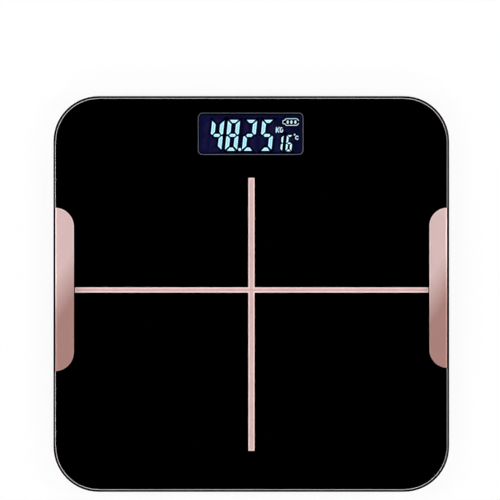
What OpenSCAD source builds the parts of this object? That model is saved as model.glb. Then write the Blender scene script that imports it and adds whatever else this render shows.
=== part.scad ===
// Digital bathroom scale: a square glass platform on a moulded base with four sprung feet.
// Millimetres. The scale stands on the plane z = 0, +Y points towards the display, and the
// origin lies on that plane under the middle of the platform.

/* [Platform glass] */
// Side length of the square glass
plate_w = 280; // [270:5:320]
// Radius of the glass's corners, seen from above
plate_corner_r = 32; // [28:1:40]
// Thickness of the glass
glass_t = 6; // [5:0.5:8]
// Radius of the polished round along the top edge
glass_edge_r = 1.9; // [1:0.1:2.5]
// Chamfer along the bottom edge
glass_arris = 0.4; // [0.2:0.1:0.8]

/* [Back print] */
// Thickness of the black coat under the glass
coat_t = 0.4; // [0.3:0.1:0.8]
// Distance from the glass's side to the coat
coat_inset = 0.5; // [0.5:0.1:2]
// Thickness of the coloured inks, which lie in the coat
ink_t = 0.15; // [0.1:0.05:0.25]
// Width of the bar that runs from front to back
long_bar_w = 4.8; // [3:0.1:8]
// Distance from the front edge of the glass to the long bar
long_bar_front = 28.6; // [15:0.1:60]
// Distance from the rear edge of the glass to the long bar
long_bar_rear = 57.7; // [50:0.1:80]
// Width of the bar that runs from side to side
cross_bar_w = 3.9; // [3:0.1:8]
// Distance of the cross bar behind the middle of the platform
cross_bar_y = 2.8; // [-20:0.1:20]
// Gap between each end of the cross bar and its edge plate
cross_bar_gap = 0.5; // [0.2:0.1:3]

/* [Edge plates] */
// Thickness of the plates, which lie flush in pockets of the glass
edge_plate_t = 0.4; // [0.3:0.1:0.8]
// Free width round the plates in their pockets
edge_plate_gap = 0.05; // [0.03:0.01:0.1]
// Width of the left plate
left_plate_w = 13.5; // [10:0.1:20]
// Length of the left plate
left_plate_l = 115.5; // [80:0.5:150]
// Distance from the glass's side to the left plate
left_plate_inset = 1.0; // [0.5:0.1:3]
// Width of the right plate
right_plate_w = 12.8; // [10:0.1:20]
// Length of the right plate
right_plate_l = 113.2; // [80:0.5:150]
// Distance from the glass's side to the right plate
right_plate_inset = 1.2; // [0.5:0.1:3]
// Distance of both plates' rear ends behind the middle of the platform
plates_rear_y = 61; // [40:0.5:75]

/* [Display] */
// Width of the printed outline, outside
outline_w = 75.5; // [70:0.5:80]
// Height of the printed outline, outside
outline_h = 29.7; // [26:0.1:30]
// Corner radius of the printed outline
outline_r = 4; // [2:0.5:6]
// Width of the outline's line
outline_line = 1; // [0.5:0.1:2]
// Distance of the display's middle to the right of the platform's
display_x = -0.5; // [-2:0.1:2]
// Distance from the glass's rear edge to the display's middle
display_inset = 26.6; // [26:0.1:32]
// Free width left round the outline and the window in the coat
print_gap = 0.05; // [0.02:0.01:0.1]
// How far the liquid crystal panel reaches past the outline on each side
lcd_margin = 1; // [0.5:0.1:1.2]
// Thickness of the liquid crystal panel
lcd_t = 2.8; // [2:0.1:3]
// Thickness of the panel's rear pane, on which the contact ledge lies
lcd_pane_t = 1.3; // [1:0.1:1.4]
// Depth of the contact ledge
lcd_ledge = 2; // [1.5:0.1:2.5]
// Thickness of the light guide
guide_t = 2.8; // [2.5:0.1:3.2]
// Width of the rubber contact strip
strip_w = 1.8; // [1.2:0.1:2]
// Wall of the display holder
holder_wall = 1.25; // [1:0.05:1.3]

/* [Base tray] */
// Height of the tray's underside over the floor
ride_h = 4; // [3.5:0.5:6]
// Height of the tray
tray_h = 14; // [14:0.5:16]
// Distance from the glass's side to the tray's
tray_inset = 4; // [3:0.5:4.5]
// Thickness of the tray's side
tray_wall = 2.2; // [1.8:0.1:2.6]
// Thickness of the tray's floor
tray_floor = 2; // [1.8:0.1:2.4]
// Radius of the round between the tray's side and its underside
tray_edge_r = 6; // [4:0.5:8]
// Width of the flange that carries the adhesive tape
flange_w = 5; // [4:0.5:5]
// Thickness of that flange
flange_t = 1.6; // [1.2:0.1:2]
// Thickness of the adhesive tape
tape_t = 0.6; // [0.4:0.1:1]
// Distance from the flange's sides to the tape
tape_inset = 0.3; // [0.2:0.1:0.6]
// Thickness of the ribs
rib_t = 1.6; // [1.2:0.1:2]
// Height of the ribs over the tray's floor
rib_h = 8; // [4:0.5:9]
// Spacing of the ribs
rib_step = 32; // [24:1:40]
// Depth of the grooves and the bare label panel in the underside
relief = 0.5; // [0.3:0.1:0.8]

/* [Feet] */
// Distance from the glass's sides to the middle of each foot
foot_inset = 40; // [36:0.5:44]
// Diameter of the foot cup
foot_d = 40; // [36:0.5:42]
// Width of the flange that keeps the foot in the tray
foot_flange_w = 2.5; // [2:0.1:3]
// Thickness of that flange
foot_flange_t = 1.2; // [1:0.1:1.5]
// Wall of the foot cup
foot_wall = 2.5; // [2:0.1:3]
// Free width round the foot in its hole
foot_gap = 0.4; // [0.3:0.1:0.8]
// Diameter of the rubber pad
pad_d = 35; // [30:0.5:36]
// Thickness of the rubber pad
pad_t = 2.8; // [2.4:0.1:3.2]
// Depth of the pad's seat in the cup
pad_seat = 0.8; // [0.5:0.1:1]
// Free width round the pad in its seat
pad_gap = 0.1; // [0.05:0.05:0.3]
// Diameter of the post that bears on the load cell
post_d = 9; // [7:0.5:10]

/* [Load cells] */
// Side length of the square load cell
cell_w = 34; // [32:0.5:34]
// Thickness of the load cell
cell_t = 2.6; // [2:0.1:3]
// Height of the load cell's underside over the tray's floor
cell_lift = 3.5; // [3:0.1:4]
// Width of the tongue in the middle of the cell
tongue_w = 11; // [11:0.5:13]
// Width of the slot round the tongue
tongue_slot = 3; // [2:0.5:3]
// Distance from the cell's side to the slot, at the tongue's root
tongue_root = 6; // [5:0.5:7]
// Gap between the cell's top and the body of its seat
seat_land = 1.5; // [1.2:0.1:2]
// Distance of the seat's screws from the cell's middle, each way
seat_screw_x = 19.5; // [19.5:0.5:21]
// Width of plastic round each seat screw
seat_rim = 4; // [3.5:0.5:4.5]
// Thickness of the silicone over the strain gauges
sealant_t = 0.8; // [0.5:0.1:1]

/* [Screws and bosses] */
// Diameter of the screws
screw_d = 2.2; // [2:0.1:2.4]
// Diameter of the screws' heads
screw_head_d = 4.4; // [4:0.1:4.8]
// Height of the screws' heads
screw_head_h = 1.5; // [1.2:0.1:1.6]
// Length of the screws under their heads
screw_l = 7; // [5:0.5:7]
// Free width round each screw in its boss
screw_gap = 0.05; // [0.03:0.01:0.1]
// Diameter of the bosses
boss_d = 6.8; // [6:0.1:7]

/* [Circuit] */
// Width of the small parts on the circuit board
part_w = 3; // [2.4:0.2:3.2]
// Thickness of the circuit board
board_t = 1.6; // [1:0.1:1.6]
// How far the board reaches past the display holder, to the left and to the right
board_ear = 6; // [5.5:0.5:7]
// Distance from the board's ends to its screws
board_screw_in = 3.4; // [3.2:0.1:3.6]
// Thickness of the holder's ears on the board
ear_t = 2; // [1.5:0.1:2.5]
// Side length of the button switch
switch_w = 6; // [5:0.5:7]
// Height of the switch's body
switch_h = 3.5; // [3:0.1:3.6]
// Distance of the switch to the left of the display's middle
switch_x = 26; // [20:1:30]
// Distance of the switch ahead of the display's middle
switch_y = 6; // [2:0.5:8]
// Diameter of the switch's plunger
plunger_d = 3.4; // [3:0.1:3.6]
// Free width round the plunger
plunger_gap = 0.1; // [0.05:0.05:0.2]
// Depth to which the plunger stands in the switch
plunger_in = 1.2; // [0.8:0.1:1.4]
// Diameter of the unit button
button_d = 9.6; // [8:0.2:11]
// Free width round the button in its hole
button_gap = 0.25; // [0.15:0.05:0.4]
// Width of the flange that keeps the button in the tray
button_flange = 1.5; // [1:0.1:2]
// How far the button stands out of the tray
button_proud = 0.3; // [0:0.1:0.8]

/* [Batteries] */
// Diameter of each battery
battery_d = 10.5; // [9.8:0.1:10.5]
// Length of each battery with its nub
battery_l = 44.5; // [43.5:0.5:44.5]
// Diameter of the battery's nub
nub_d = 3.8; // [3:0.1:4]
// Length of the battery's nub
nub_l = 1; // [0.8:0.1:1.2]
// Distance between the two batteries
battery_gap = 0.7; // [0.5:0.1:1.5]
// Free space round the batteries in their bay
bay_gap = 0.25; // [0.2:0.05:0.3]
// Wall and ceiling of the battery bay
bay_wall = 1.2; // [1:0.1:1.2]
// Distance from the display's middle to the bay's
bay_back = 55.4; // [50:0.2:65]
// Side length of the square contact plates
contact_w = 9; // [8:0.5:9.5]
// Thickness of the contact plates
contact_t = 0.4; // [0.3:0.05:0.5]
// Length of the contact springs with the batteries in
spring_l = 4.2; // [3:0.1:5]
// Diameter of the contact springs at the plate, to the middle of the wire
spring_d = 7.2; // [6:0.2:8]
// Diameter of the contact springs at the battery, to the middle of the wire
spring_end_d = 5; // [4:0.2:6]
// Diameter of the contact springs' wire
spring_wire = 0.7; // [0.5:0.1:0.8]
// Turns of each contact spring
spring_turns = 3; // [2:1:4]
// Thickness of the battery door
door_t = 1.6; // [1.4:0.1:1.8]
// How far the door reaches past the bay on each side
door_lap = 2; // [1.6:0.1:2.4]
// Free width round the door
door_gap = 0.3; // [0.2:0.1:0.5]
// Width of the door's two hinge tabs
tab_w = 8; // [6:0.5:10]
// Thickness of the tabs
tab_t = 1.4; // [1.2:0.1:1.6]
// How far the tabs reach over the tray's floor
tab_reach = 1.8; // [1.5:0.1:2]

/* [Wires] */
// Diameter of the wires
wire_d = 1.2; // [1:0.1:1.3]
// Spacing of the wires that run side by side
wire_step = 1.6; // [1.5:0.1:2]
// Gap between a wire and what it lies on
wire_gap = 0.1; // [0.05:0.05:0.2]

/* [Hidden] */
$fn = 48;
CORNERS = ["front_left", "front_right", "rear_left", "rear_right"];

// Overlap that makes a cut run cleanly through a face
cut = 1;

// Heights over the floor
tray_top = ride_h + tray_h;
floor_z = ride_h + tray_floor;
coat_z = tray_top + tape_t;
glass_z = coat_z + coat_t;
glass_top = glass_z + glass_t;
edge_plate_z = glass_top - edge_plate_t;
cell_z = floor_z + cell_lift;
cell_top = cell_z + cell_t;
seat_z = cell_top + seat_land;
lcd_z = coat_z - lcd_t;
guide_z = lcd_z - guide_t;
board_z = guide_z - board_t;
switch_z = board_z - switch_h;
door_top = ride_h + door_t;
battery_z = door_top + bay_gap + battery_d / 2;
bay_top = battery_z + battery_d / 2 + bay_gap;
wire_z = floor_z + wire_gap + wire_d / 2;

// Places seen from above
half = plate_w / 2;
foot_xy = half - foot_inset;
foot_at = [[-1, -1], [1, -1], [-1, 1], [1, 1]] * foot_xy;
display_y = half - display_inset;
long_bar_l = plate_w - long_bar_front - long_bar_rear;
cross_left = -half + left_plate_inset + left_plate_w + cross_bar_gap;
cross_right = half - right_plate_inset - right_plate_w - cross_bar_gap;

// Base tray
tray_w = plate_w - 2 * tray_inset;
tray_corner_r = plate_corner_r - tray_inset;
tray_inner_w = tray_w - 2 * tray_wall;
tray_inner_r = tray_corner_r - tray_wall;
tray_inner_edge_r = tray_edge_r - tray_wall;
flange_inner_w = tray_w - 2 * flange_w;
flange_inner_r = tray_corner_r - flange_w;

// Display and circuit
window_w = outline_w - 2 * outline_line;
window_h = outline_h - 2 * outline_line;
window_r = outline_r - outline_line;
lcd_w = outline_w + 2 * lcd_margin;
lcd_h = outline_h + 2 * lcd_margin;
lcd_gap = 0.15;
lamp_side = 2.6;
holder_w = lcd_w + 2 * lcd_gap + 2 * holder_wall;
holder_h = lcd_h + 2 * lcd_gap + 2 * holder_wall;
guide_front = -lcd_h / 2 + strip_w + 2 * lcd_gap;
board_w = holder_w + 2 * board_ear;
board_h = holder_h;
board_screw_x = board_w / 2 - board_screw_in;
board_screw_y = board_h / 2 - board_screw_in;
board_screws_at = [
  for (sx = [-1, 1], sy = [-1, 1]) [display_x + sx * board_screw_x, display_y + sy * board_screw_y]
];
button_at = [display_x - switch_x, display_y - switch_y];
plunger_z = switch_z + plunger_in;
plunger_bore = 1;
plunger_proud = 0.8;
button_top = switch_z - plunger_proud;

// Hole that a screw passes through freely
screw_hole_d = screw_d + 8 * screw_gap;

// Seats of the load cells
seat_w = 2 * (seat_screw_x + seat_rim);
seat_skin = 1.8;
seat_bore_d = screw_head_d + 0.8;
seat_screw_floor = 2;
seat_screws_at = [
  for (p = foot_at, sx = [-1, 1], sy = [-1, 1]) [p.x + sx * seat_screw_x, p.y + sy * seat_screw_x]
];

// Lanes of the load cells' wires, beside their seats
front_lane_x = foot_xy - seat_w / 2 - 1.25 * wire_step;
rear_lane_x = front_lane_x - 5 * wire_step;

// Battery bay, with its length along X
bay_y = display_y - bay_back;
bay_l = battery_l + spring_l + 2 * contact_t;
bay_w = 2 * battery_d + battery_gap + 2 * bay_gap;
battery_y = (battery_d + battery_gap) / 2;
battery_pos_x = bay_l / 2 - contact_t - battery_l;
door_l = bay_l + 2 * door_lap;
door_w = bay_w + 2 * door_lap;
recess_l = door_l + 2 * door_gap;
recess_w = door_w + 2 * door_gap;
tab_x = door_l / 4;
tab_gap = 0.1;
notch_r = 7;
contact_tab_w = 2.4;
contact_tab_l = bay_wall + 3;

// A rectangle with round corners, seen from above
module rounded(w, h, r) {
  square([w - 2 * r, h], center = true);
  square([w, h - 2 * r], center = true);
  for (sx = [-1, 1], sy = [-1, 1])
    translate([sx * (w / 2 - r), sy * (h / 2 - r)])
      circle(r);
}

// Sweeps a profile round a square with round corners. The profile's x is measured outwards
// from a corner's centre, and its y is the height.
module around(w, r) {
  run = w / 2 - r;
  for (q = [0:3])
    rotate(90 * q)
      translate([run, run, 0]) {
        rotate_extrude(angle = 90) children();
        rotate([90, 0, 0]) linear_extrude(2 * run) children();
      }
}

// A square plate with round corners whose side has the given profile. The profile is full
// height up to the given distance from the side, and the core reaches into the sweeps.
module edged_plate(w, r, h, edge) {
  core_share = 0.7;
  core_w = w - 2 * r + 2 * core_share * (r - edge);
  around(w, r) children();
  translate([0, 0, h / 2])
    cube([core_w, core_w, h], center = true);
}

// The profile of a plate's side with its lower corner rounded
module bowl_profile(r, edge_r, h) {
  square([r - edge_r, h]);
  translate([0, edge_r]) square([r, h - edge_r]);
  translate([r - edge_r, edge_r]) circle(edge_r);
}

// A tube between two radii, standing on z = 0
module ring(outer_r, inner_r, h) {
  difference() {
    cylinder(h = h, r = outer_r);
    translate([0, 0, -cut]) cylinder(h = h + 2 * cut, r = inner_r);
  }
}

// A straight rod
module rod(a, b, d) {
  v = b - a;
  flat = norm([v.x, v.y]);
  translate(a)
    rotate([0, atan2(flat, v.z), atan2(v.y, v.x)])
      cylinder(h = norm(v), d = d);
}

// A wire along a list of points, with a slightly thicker ball at each bend
module wire(points) {
  ball_d = wire_d * 1.06;
  for (i = [1:len(points) - 1])
    rod(points[i - 1], points[i], wire_d);
  for (p = points)
    translate(p) sphere(d = ball_d);
}

// A pan head screw whose head rests on z = 0
module screw() {
  slot_w = 0.7;
  difference() {
    union() {
      cylinder(h = screw_head_h, d = screw_head_d);
      translate([0, 0, -screw_l]) cylinder(h = screw_l, d = screw_d);
    }
    for (turn = [0, 90])
      rotate(turn)
        translate([-screw_head_d / 3, -slot_w / 2, screw_head_h / 2])
          cube([2 * screw_head_d / 3, slot_w, screw_head_h]);
  }
}

// A boss with a pilot hole for a screw, from the tray's floor up to the given height
module boss(top) {
  cylinder(h = top - floor_z, d = boss_d);
}

module pilot_hole(top, depth) {
  translate([0, 0, top - floor_z - depth])
    cylinder(h = depth + cut, d = screw_d + 2 * screw_gap);
}

// One edge plate, seen from above, with its outer side on x = 0 and its rear end on y = 0.
// A gap makes it the outline of its pocket.
module edge_plate_outline(w, l, gap) {
  translate([-gap, -l + w]) square([w + 2 * gap, l - 2 * w]);
  for (y = [-w, -l + w])
    intersection() {
      translate([0, y]) circle(w + gap);
      translate([-gap, y - w - gap]) square([w + 2 * gap, 2 * (w + gap)]);
    }
}

module left_plate_outline(gap) {
  translate([-half + left_plate_inset, plates_rear_y])
    edge_plate_outline(left_plate_w, left_plate_l, gap);
}

module right_plate_outline(gap) {
  translate([half - right_plate_inset, plates_rear_y])
    mirror([1, 0])
      edge_plate_outline(right_plate_w, right_plate_l, gap);
}

module glass_platform() {
  module profile() {
    difference() {
      square([plate_corner_r, glass_t]);
      translate([plate_corner_r - glass_edge_r, glass_t - glass_edge_r])
        difference() {
          square(glass_edge_r + cut);
          circle(glass_edge_r);
        }
      polygon([
        [plate_corner_r - glass_arris, 0],
        [plate_corner_r, glass_arris],
        [plate_corner_r + cut, -cut]
      ]);
    }
  }
  color("lightcyan", 0.5)
    difference() {
      translate([0, 0, glass_z])
        edged_plate(plate_w, plate_corner_r, glass_t, glass_edge_r + glass_arris) profile();
      translate([0, 0, edge_plate_z])
        linear_extrude(edge_plate_t + cut) {
          left_plate_outline(edge_plate_gap);
          right_plate_outline(edge_plate_gap);
        }
    }
}

module cross_outline(gap) {
  translate([-long_bar_w / 2 - gap, long_bar_front - half - gap])
    square([long_bar_w + 2 * gap, long_bar_l + 2 * gap]);
  translate([cross_left - gap, cross_bar_y - cross_bar_w / 2 - gap])
    square([cross_right - cross_left + 2 * gap, cross_bar_w + 2 * gap]);
}

module display_ring(gap) {
  translate([display_x, display_y])
    difference() {
      rounded(outline_w + 2 * gap, outline_h + 2 * gap, outline_r + gap);
      rounded(window_w - 2 * gap, window_h - 2 * gap, window_r - gap);
    }
}

module back_coat() {
  coat_w = plate_w - 2 * coat_inset;
  ledge = 0.5;
  color("black")
    difference() {
      translate([0, 0, coat_z])
        linear_extrude(coat_t)
          rounded(coat_w, coat_w, plate_corner_r - coat_inset);
      translate([0, 0, glass_z - ink_t])
        linear_extrude(ink_t + cut) {
          cross_outline(print_gap);
          display_ring(print_gap);
        }
      translate([display_x, display_y, coat_z - cut])
        linear_extrude(coat_t + 2 * cut)
          rounded(window_w - 2 * ledge, window_h - 2 * ledge, window_r - ledge);
    }
}

module cross_print() {
  color("rosybrown")
    translate([0, 0, glass_z - ink_t])
      linear_extrude(ink_t)
        cross_outline(0);
}

module display_outline() {
  color("dimgray")
    translate([0, 0, glass_z - ink_t])
      linear_extrude(ink_t)
        display_ring(0);
}

module left_edge_plate() {
  color("rosybrown")
    translate([0, 0, edge_plate_z])
      linear_extrude(edge_plate_t)
        left_plate_outline(0);
}

module right_edge_plate() {
  color("rosybrown")
    translate([0, 0, edge_plate_z])
      linear_extrude(edge_plate_t)
        right_plate_outline(0);
}

module adhesive_tape() {
  outer_w = tray_w - 2 * tape_inset;
  inner_w = flange_inner_w + 2 * tape_inset;
  color("dimgray")
    translate([0, 0, tray_top])
      linear_extrude(tape_t)
        difference() {
          rounded(outer_w, outer_w, tray_corner_r - tape_inset);
          rounded(inner_w, inner_w, flange_inner_r + tape_inset);
        }
}

// The ribs: a field ahead of the battery bay, and short ones along both sides
module tray_ribs() {
  field_room = front_lane_x - 2 * wire_step - wire_d - rib_t / 2;
  field_x = rib_step * floor(field_room / rib_step);
  field_rear = bay_y - recess_w / 2;
  field_front = -tray_inner_w / 2;
  side_in = foot_xy - seat_w / 2 + wire_step;
  side_out = tray_inner_w / 2;
  translate([0, 0, rib_h / 2]) {
    for (x = [-field_x:rib_step:field_x])
      translate([x, (field_rear + field_front) / 2, 0])
        cube([rib_t, field_rear - field_front, rib_h], center = true);
    for (y = [field_rear - rib_step / 2:-rib_step:field_front + rib_step / 2])
      translate([0, y, 0])
        cube([2 * field_x, rib_t, rib_h], center = true);
    for (sx = [-1, 1], y = [-rib_step:rib_step:rib_step])
      translate([sx * (side_in + side_out) / 2, y, 0])
        cube([side_out - side_in, rib_t, rib_h], center = true);
  }
}

// Shallow grooves and a bare label panel, cut into the underside
module underside_relief() {
  panel_w = 62;
  panel_h = 40;
  groove_w = 2;
  groove_r = foot_d / 2 + foot_gap + 4;
  translate([0, -bay_y / 2, ride_h - cut])
    linear_extrude(cut + relief)
      rounded(panel_w, panel_h, groove_w);
  for (p = foot_at)
    translate([p.x, p.y, ride_h - cut])
      ring(groove_r + groove_w, groove_r, cut + relief);
  for (sx = [-1, 1])
    translate([sx * foot_xy, 0, ride_h - cut])
      linear_extrude(cut + relief)
        rounded(groove_w, 2 * (foot_xy - groove_r - groove_w) - 4 * groove_w, groove_w / 2 - 0.1);
}

module base_tray() {
  bay_block_l = bay_l + 2 * bay_wall;
  bay_block_w = bay_w + 2 * bay_wall;
  frame_t = 2;
  tab_slot_w = tab_w + 1;
  tab_swing = 2.4;
  tab_slot_top = door_top + tab_t + tab_swing;
  notch_depth = 1.2;
  contact_slot_gap = 0.3;
  contact_slot_h = 1;
  color([0.08, 0.08, 0.09])
    difference() {
      union() {
        difference() {
          translate([0, 0, ride_h])
            edged_plate(tray_w, tray_corner_r, tray_h, tray_edge_r)
              bowl_profile(tray_corner_r, tray_edge_r, tray_h);
          translate([0, 0, floor_z])
            edged_plate(tray_inner_w, tray_inner_r, tray_h, tray_inner_edge_r)
              bowl_profile(tray_inner_r, tray_inner_edge_r, tray_h);
        }
        translate([0, 0, tray_top - flange_t])
          linear_extrude(flange_t)
            difference() {
              rounded(tray_w - tray_wall, tray_w - tray_wall, tray_corner_r - tray_wall / 2);
              rounded(flange_inner_w, flange_inner_w, flange_inner_r);
            }
        translate([0, 0, floor_z]) {
          tray_ribs();
          for (p = seat_screws_at)
            translate([p.x, p.y, 0]) boss(seat_z);
          for (p = board_screws_at)
            translate([p.x, p.y, 0]) boss(board_z);
        }
        translate([0, bay_y, (door_top + bay_top + bay_wall) / 2])
          cube([bay_block_l, bay_block_w, bay_top + bay_wall - door_top], center = true);
        translate([0, bay_y, door_top + frame_t / 2])
          cube([recess_l + 2 * bay_wall, recess_w + 2 * bay_wall, frame_t], center = true);
      }
      for (p = foot_at)
        translate([p.x, p.y, ride_h - cut])
          cylinder(h = tray_floor + 2 * cut, d = foot_d + 2 * foot_gap);
      for (p = seat_screws_at)
        translate([p.x, p.y, floor_z]) pilot_hole(seat_z, screw_l);
      for (p = board_screws_at)
        translate([p.x, p.y, floor_z]) pilot_hole(board_z, screw_l - board_t - ear_t + cut);
      translate([button_at.x, button_at.y, ride_h - cut])
        cylinder(h = tray_floor + 2 * cut, d = button_d + 2 * button_gap);
      translate([0, bay_y, bay_top / 2])
        cube([bay_l, bay_w, bay_top], center = true);
      translate([0, bay_y, door_top / 2])
        cube([recess_l, recess_w, door_top], center = true);
      for (sx = [-1, 1])
        translate([sx * tab_x - tab_slot_w / 2, bay_y + bay_w / 2 - cut, ride_h + tray_floor])
          cube([tab_slot_w, recess_w - bay_w + cut, tab_slot_top - floor_z]);
      for (sx = [-1, 1])
        translate([sx * tab_x - tab_slot_w / 2, bay_y, ride_h - cut])
          cube([tab_slot_w, recess_w / 2, tray_floor + 2 * cut]);
      translate([0, bay_y - recess_w / 2, ride_h - cut])
        cylinder(h = cut + notch_depth, r = notch_r);
      for (sy = [-1, 1])
        translate([(bay_l + bay_wall) / 2, bay_y + sy * battery_y, battery_z])
          cube(
            [bay_wall + 2 * cut, contact_tab_w + 2 * contact_slot_gap, contact_slot_h],
            center = true
          );
      underside_relief();
    }
}

// The seat between the glass and a load cell's outer frame
module seat(i) {
  land_w = 6;
  land_l = 28;
  spine_w = 4;
  pocket_w = (cell_w - spine_w) / 2;
  h = coat_z - seat_z;
  p = foot_at[i];
  color([0.12, 0.12, 0.13])
    translate([p.x, p.y, seat_z])
      difference() {
        union() {
          linear_extrude(h) rounded(seat_w, seat_w, seat_rim);
          for (sy = [-1, 1])
            translate([0, sy * (cell_w / 2 - land_w / 2 - cut), -seat_land / 2])
              cube([land_l, land_w, seat_land], center = true);
        }
        for (sx = [-1, 1], sy = [-1, 1])
          translate([sx * seat_screw_x, sy * seat_screw_x, 0]) {
            translate([0, 0, -cut]) cylinder(h = h + 2 * cut, d = screw_hole_d);
            translate([0, 0, seat_screw_floor]) cylinder(h = h, d = seat_bore_d);
          }
        for (sx = [-1, 1])
          translate([sx * (spine_w + pocket_w) / 2, 0, (h - seat_skin - cut) / 2])
            cube([pocket_w, cell_w - 3 * land_w, h - seat_skin + cut], center = true);
      }
}

module seat_screws() {
  color("silver")
    for (p = seat_screws_at)
      translate([p.x, p.y, seat_z + seat_screw_floor])
        screw();
}

// A load cell: a steel square whose tongue bends. The tongue's root faces the middle.
module load_cell(i) {
  p = foot_at[i];
  slot_l = cell_w - 2 * tongue_root - 1;
  cell_r = 4;
  color("lightsteelblue")
    translate([p.x, p.y, cell_z])
      mirror([p.x < 0 ? 1 : 0, 0, 0])
        linear_extrude(cell_t)
          difference() {
            rounded(cell_w, cell_w, cell_r);
            for (sy = [-1, 1])
              translate([tongue_root - cell_w / 2, sy * (tongue_w + tongue_slot) / 2 - tongue_slot / 2])
                square([slot_l, tongue_slot]);
            translate([tongue_root - cell_w / 2 + slot_l - tongue_slot, -tongue_w / 2 - tongue_slot])
              square([tongue_slot, tongue_w + 2 * tongue_slot]);
          }
}

module gauge_sealant() {
  sealant_l = 7;
  color("whitesmoke")
    for (p = foot_at)
      translate([p.x - sign(p.x) * (cell_w / 2 - tongue_root + 1 - sealant_l / 2), p.y, cell_top])
        linear_extrude(sealant_t)
          rounded(sealant_l, tongue_w - 2, 2);
}

module foot_cup(i) {
  p = foot_at[i];
  cup_z = pad_t - pad_seat;
  plate_z = floor_z - 1.4;
  cup_h = floor_z + foot_flange_t - cup_z;
  inner_r = foot_d / 2 - foot_wall;
  cup_rib_t = 1.4;
  color([0.1, 0.1, 0.1])
    translate([p.x, p.y, 0])
      difference() {
        union() {
          translate([0, 0, cup_z]) cylinder(h = plate_z - cup_z, d = foot_d);
          translate([0, 0, cup_z]) ring(foot_d / 2, inner_r, cup_h);
          translate([0, 0, floor_z])
            ring(foot_d / 2 + foot_flange_w, inner_r, foot_flange_t);
          translate([0, 0, cup_z]) cylinder(h = cell_z - cup_z, d = post_d);
          for (turn = [0:60:120])
            rotate(turn)
              translate([0, 0, cup_z + cup_h / 2])
                cube([2 * inner_r + cut, cup_rib_t, cup_h], center = true);
        }
        translate([0, 0, cup_z - cut])
          cylinder(h = pad_seat + cut, d = pad_d + 2 * pad_gap);
      }
}

module foot_pad(i) {
  p = foot_at[i];
  groove = 0.8;
  edge = 0.6;
  r = pad_d / 2;
  color([0.2, 0.2, 0.2])
    translate([p.x, p.y, 0])
      rotate_extrude()
        difference() {
          square([r, pad_t]);
          polygon([[r - edge, 0], [r, edge], [r + cut, -cut]]);
          for (x = [0.4 * r, 0.65 * r])
            translate([x, -cut]) square([1.6, groove + cut]);
        }
}

// Places its children at the middle of the display, seen from above
module at_display(z) {
  translate([display_x, display_y, z]) children();
}

module lcd_panel() {
  color([0.06, 0.06, 0.22])
    at_display(lcd_z) {
      translate([-lcd_w / 2, -lcd_h / 2, 0]) cube([lcd_w, lcd_h, lcd_pane_t]);
      translate([-lcd_w / 2, -lcd_h / 2 + lcd_ledge, lcd_pane_t])
        cube([lcd_w, lcd_h - lcd_ledge, lcd_t - lcd_pane_t]);
    }
}

module light_guide() {
  color("white")
    at_display(guide_z)
      translate([-lcd_w / 2 + lamp_side, guide_front, 0])
        cube([lcd_w - lamp_side, lcd_h / 2 - guide_front, guide_t]);
}

module guide_lamps() {
  lamp_t = lamp_side - 0.8;
  lamp_w = 3.5;
  lamp_step = 11;
  color("lightyellow")
    at_display(guide_z)
      for (i = [0, 1])
        translate([-lcd_w / 2 + 0.5, -4 + i * lamp_step, 0]) cube([lamp_t, lamp_w, guide_t / 2]);
}

module contact_strip() {
  color("pink")
    at_display(guide_z)
      translate([-lcd_w / 2 + 3, -lcd_h / 2 + lcd_gap, 0])
        cube([lcd_w - 6, strip_w, guide_t]);
}

module lcd_holder() {
  top_gap = 0.2;
  h = coat_z - guide_z - top_gap;
  lip = 0.8;
  color("white")
    at_display(guide_z)
      difference() {
        union() {
          translate([0, 0, h / 2]) cube([holder_w, holder_h, h], center = true);
          translate([0, 0, ear_t / 2]) cube([board_w, holder_h, ear_t], center = true);
        }
        translate([0, 0, h / 2]) cube([lcd_w + 2 * lcd_gap, lcd_h + 2 * lcd_gap, h + cut], center = true);
        for (p = board_screws_at)
          translate([p.x - display_x, p.y - display_y, -cut])
            cylinder(h = ear_t + 2 * cut, d = screw_hole_d);
        for (sx = [-1, 1])
          translate([sx * board_w / 2, 0, ear_t / 2])
            cube([2 * board_ear - 2 * lip, holder_h - 2 * boss_d, ear_t + cut], center = true);
      }
}

module circuit_board() {
  color("darkgreen")
    at_display(board_z)
      difference() {
        translate([0, 0, board_t / 2]) cube([board_w, board_h, board_t], center = true);
        for (p = board_screws_at)
          translate([p.x - display_x, p.y - display_y, -cut])
            cylinder(h = board_t + 2 * cut, d = screw_hole_d);
      }
}

module board_screws() {
  color("silver")
    for (p = board_screws_at)
      translate([p.x, p.y, guide_z + ear_t]) screw();
}

// The bonded chip under its round drop of resin, on the board's underside
module main_chip() {
  drop_r = 6;
  drop_h = 1.5;
  drop_sphere_r = (drop_r * drop_r + drop_h * drop_h) / (2 * drop_h);
  color([0.05, 0.05, 0.05])
    at_display(board_z)
      rotate_extrude()
        intersection() {
          translate([0, drop_sphere_r - drop_h]) circle(drop_sphere_r, $fn = 128);
          translate([0, -drop_h]) square([drop_r, drop_h]);
        }
}

// Small parts on the board's underside: a crystal, a capacitor, a socket and four resistors
module board_parts() {
  resistor_w = part_w / 3;
  color("goldenrod")
    at_display(board_z) {
      translate([4 * part_w, 2 * part_w, -part_w / 2]) cylinder(h = part_w / 2, d = part_w);
      translate([6 * part_w, 2 * part_w, -0.8 * part_w])
        cylinder(h = 0.8 * part_w, d = 1.3 * part_w);
      translate([4 * part_w, -2 * part_w, -0.4 * part_w])
        cube([2.5 * part_w, part_w, 0.4 * part_w]);
      for (i = [1:4])
        translate([-i * part_w, 3 * part_w, -resistor_w / 2])
          cube([resistor_w, 2 * resistor_w, resistor_w / 2]);
    }
}

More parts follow.
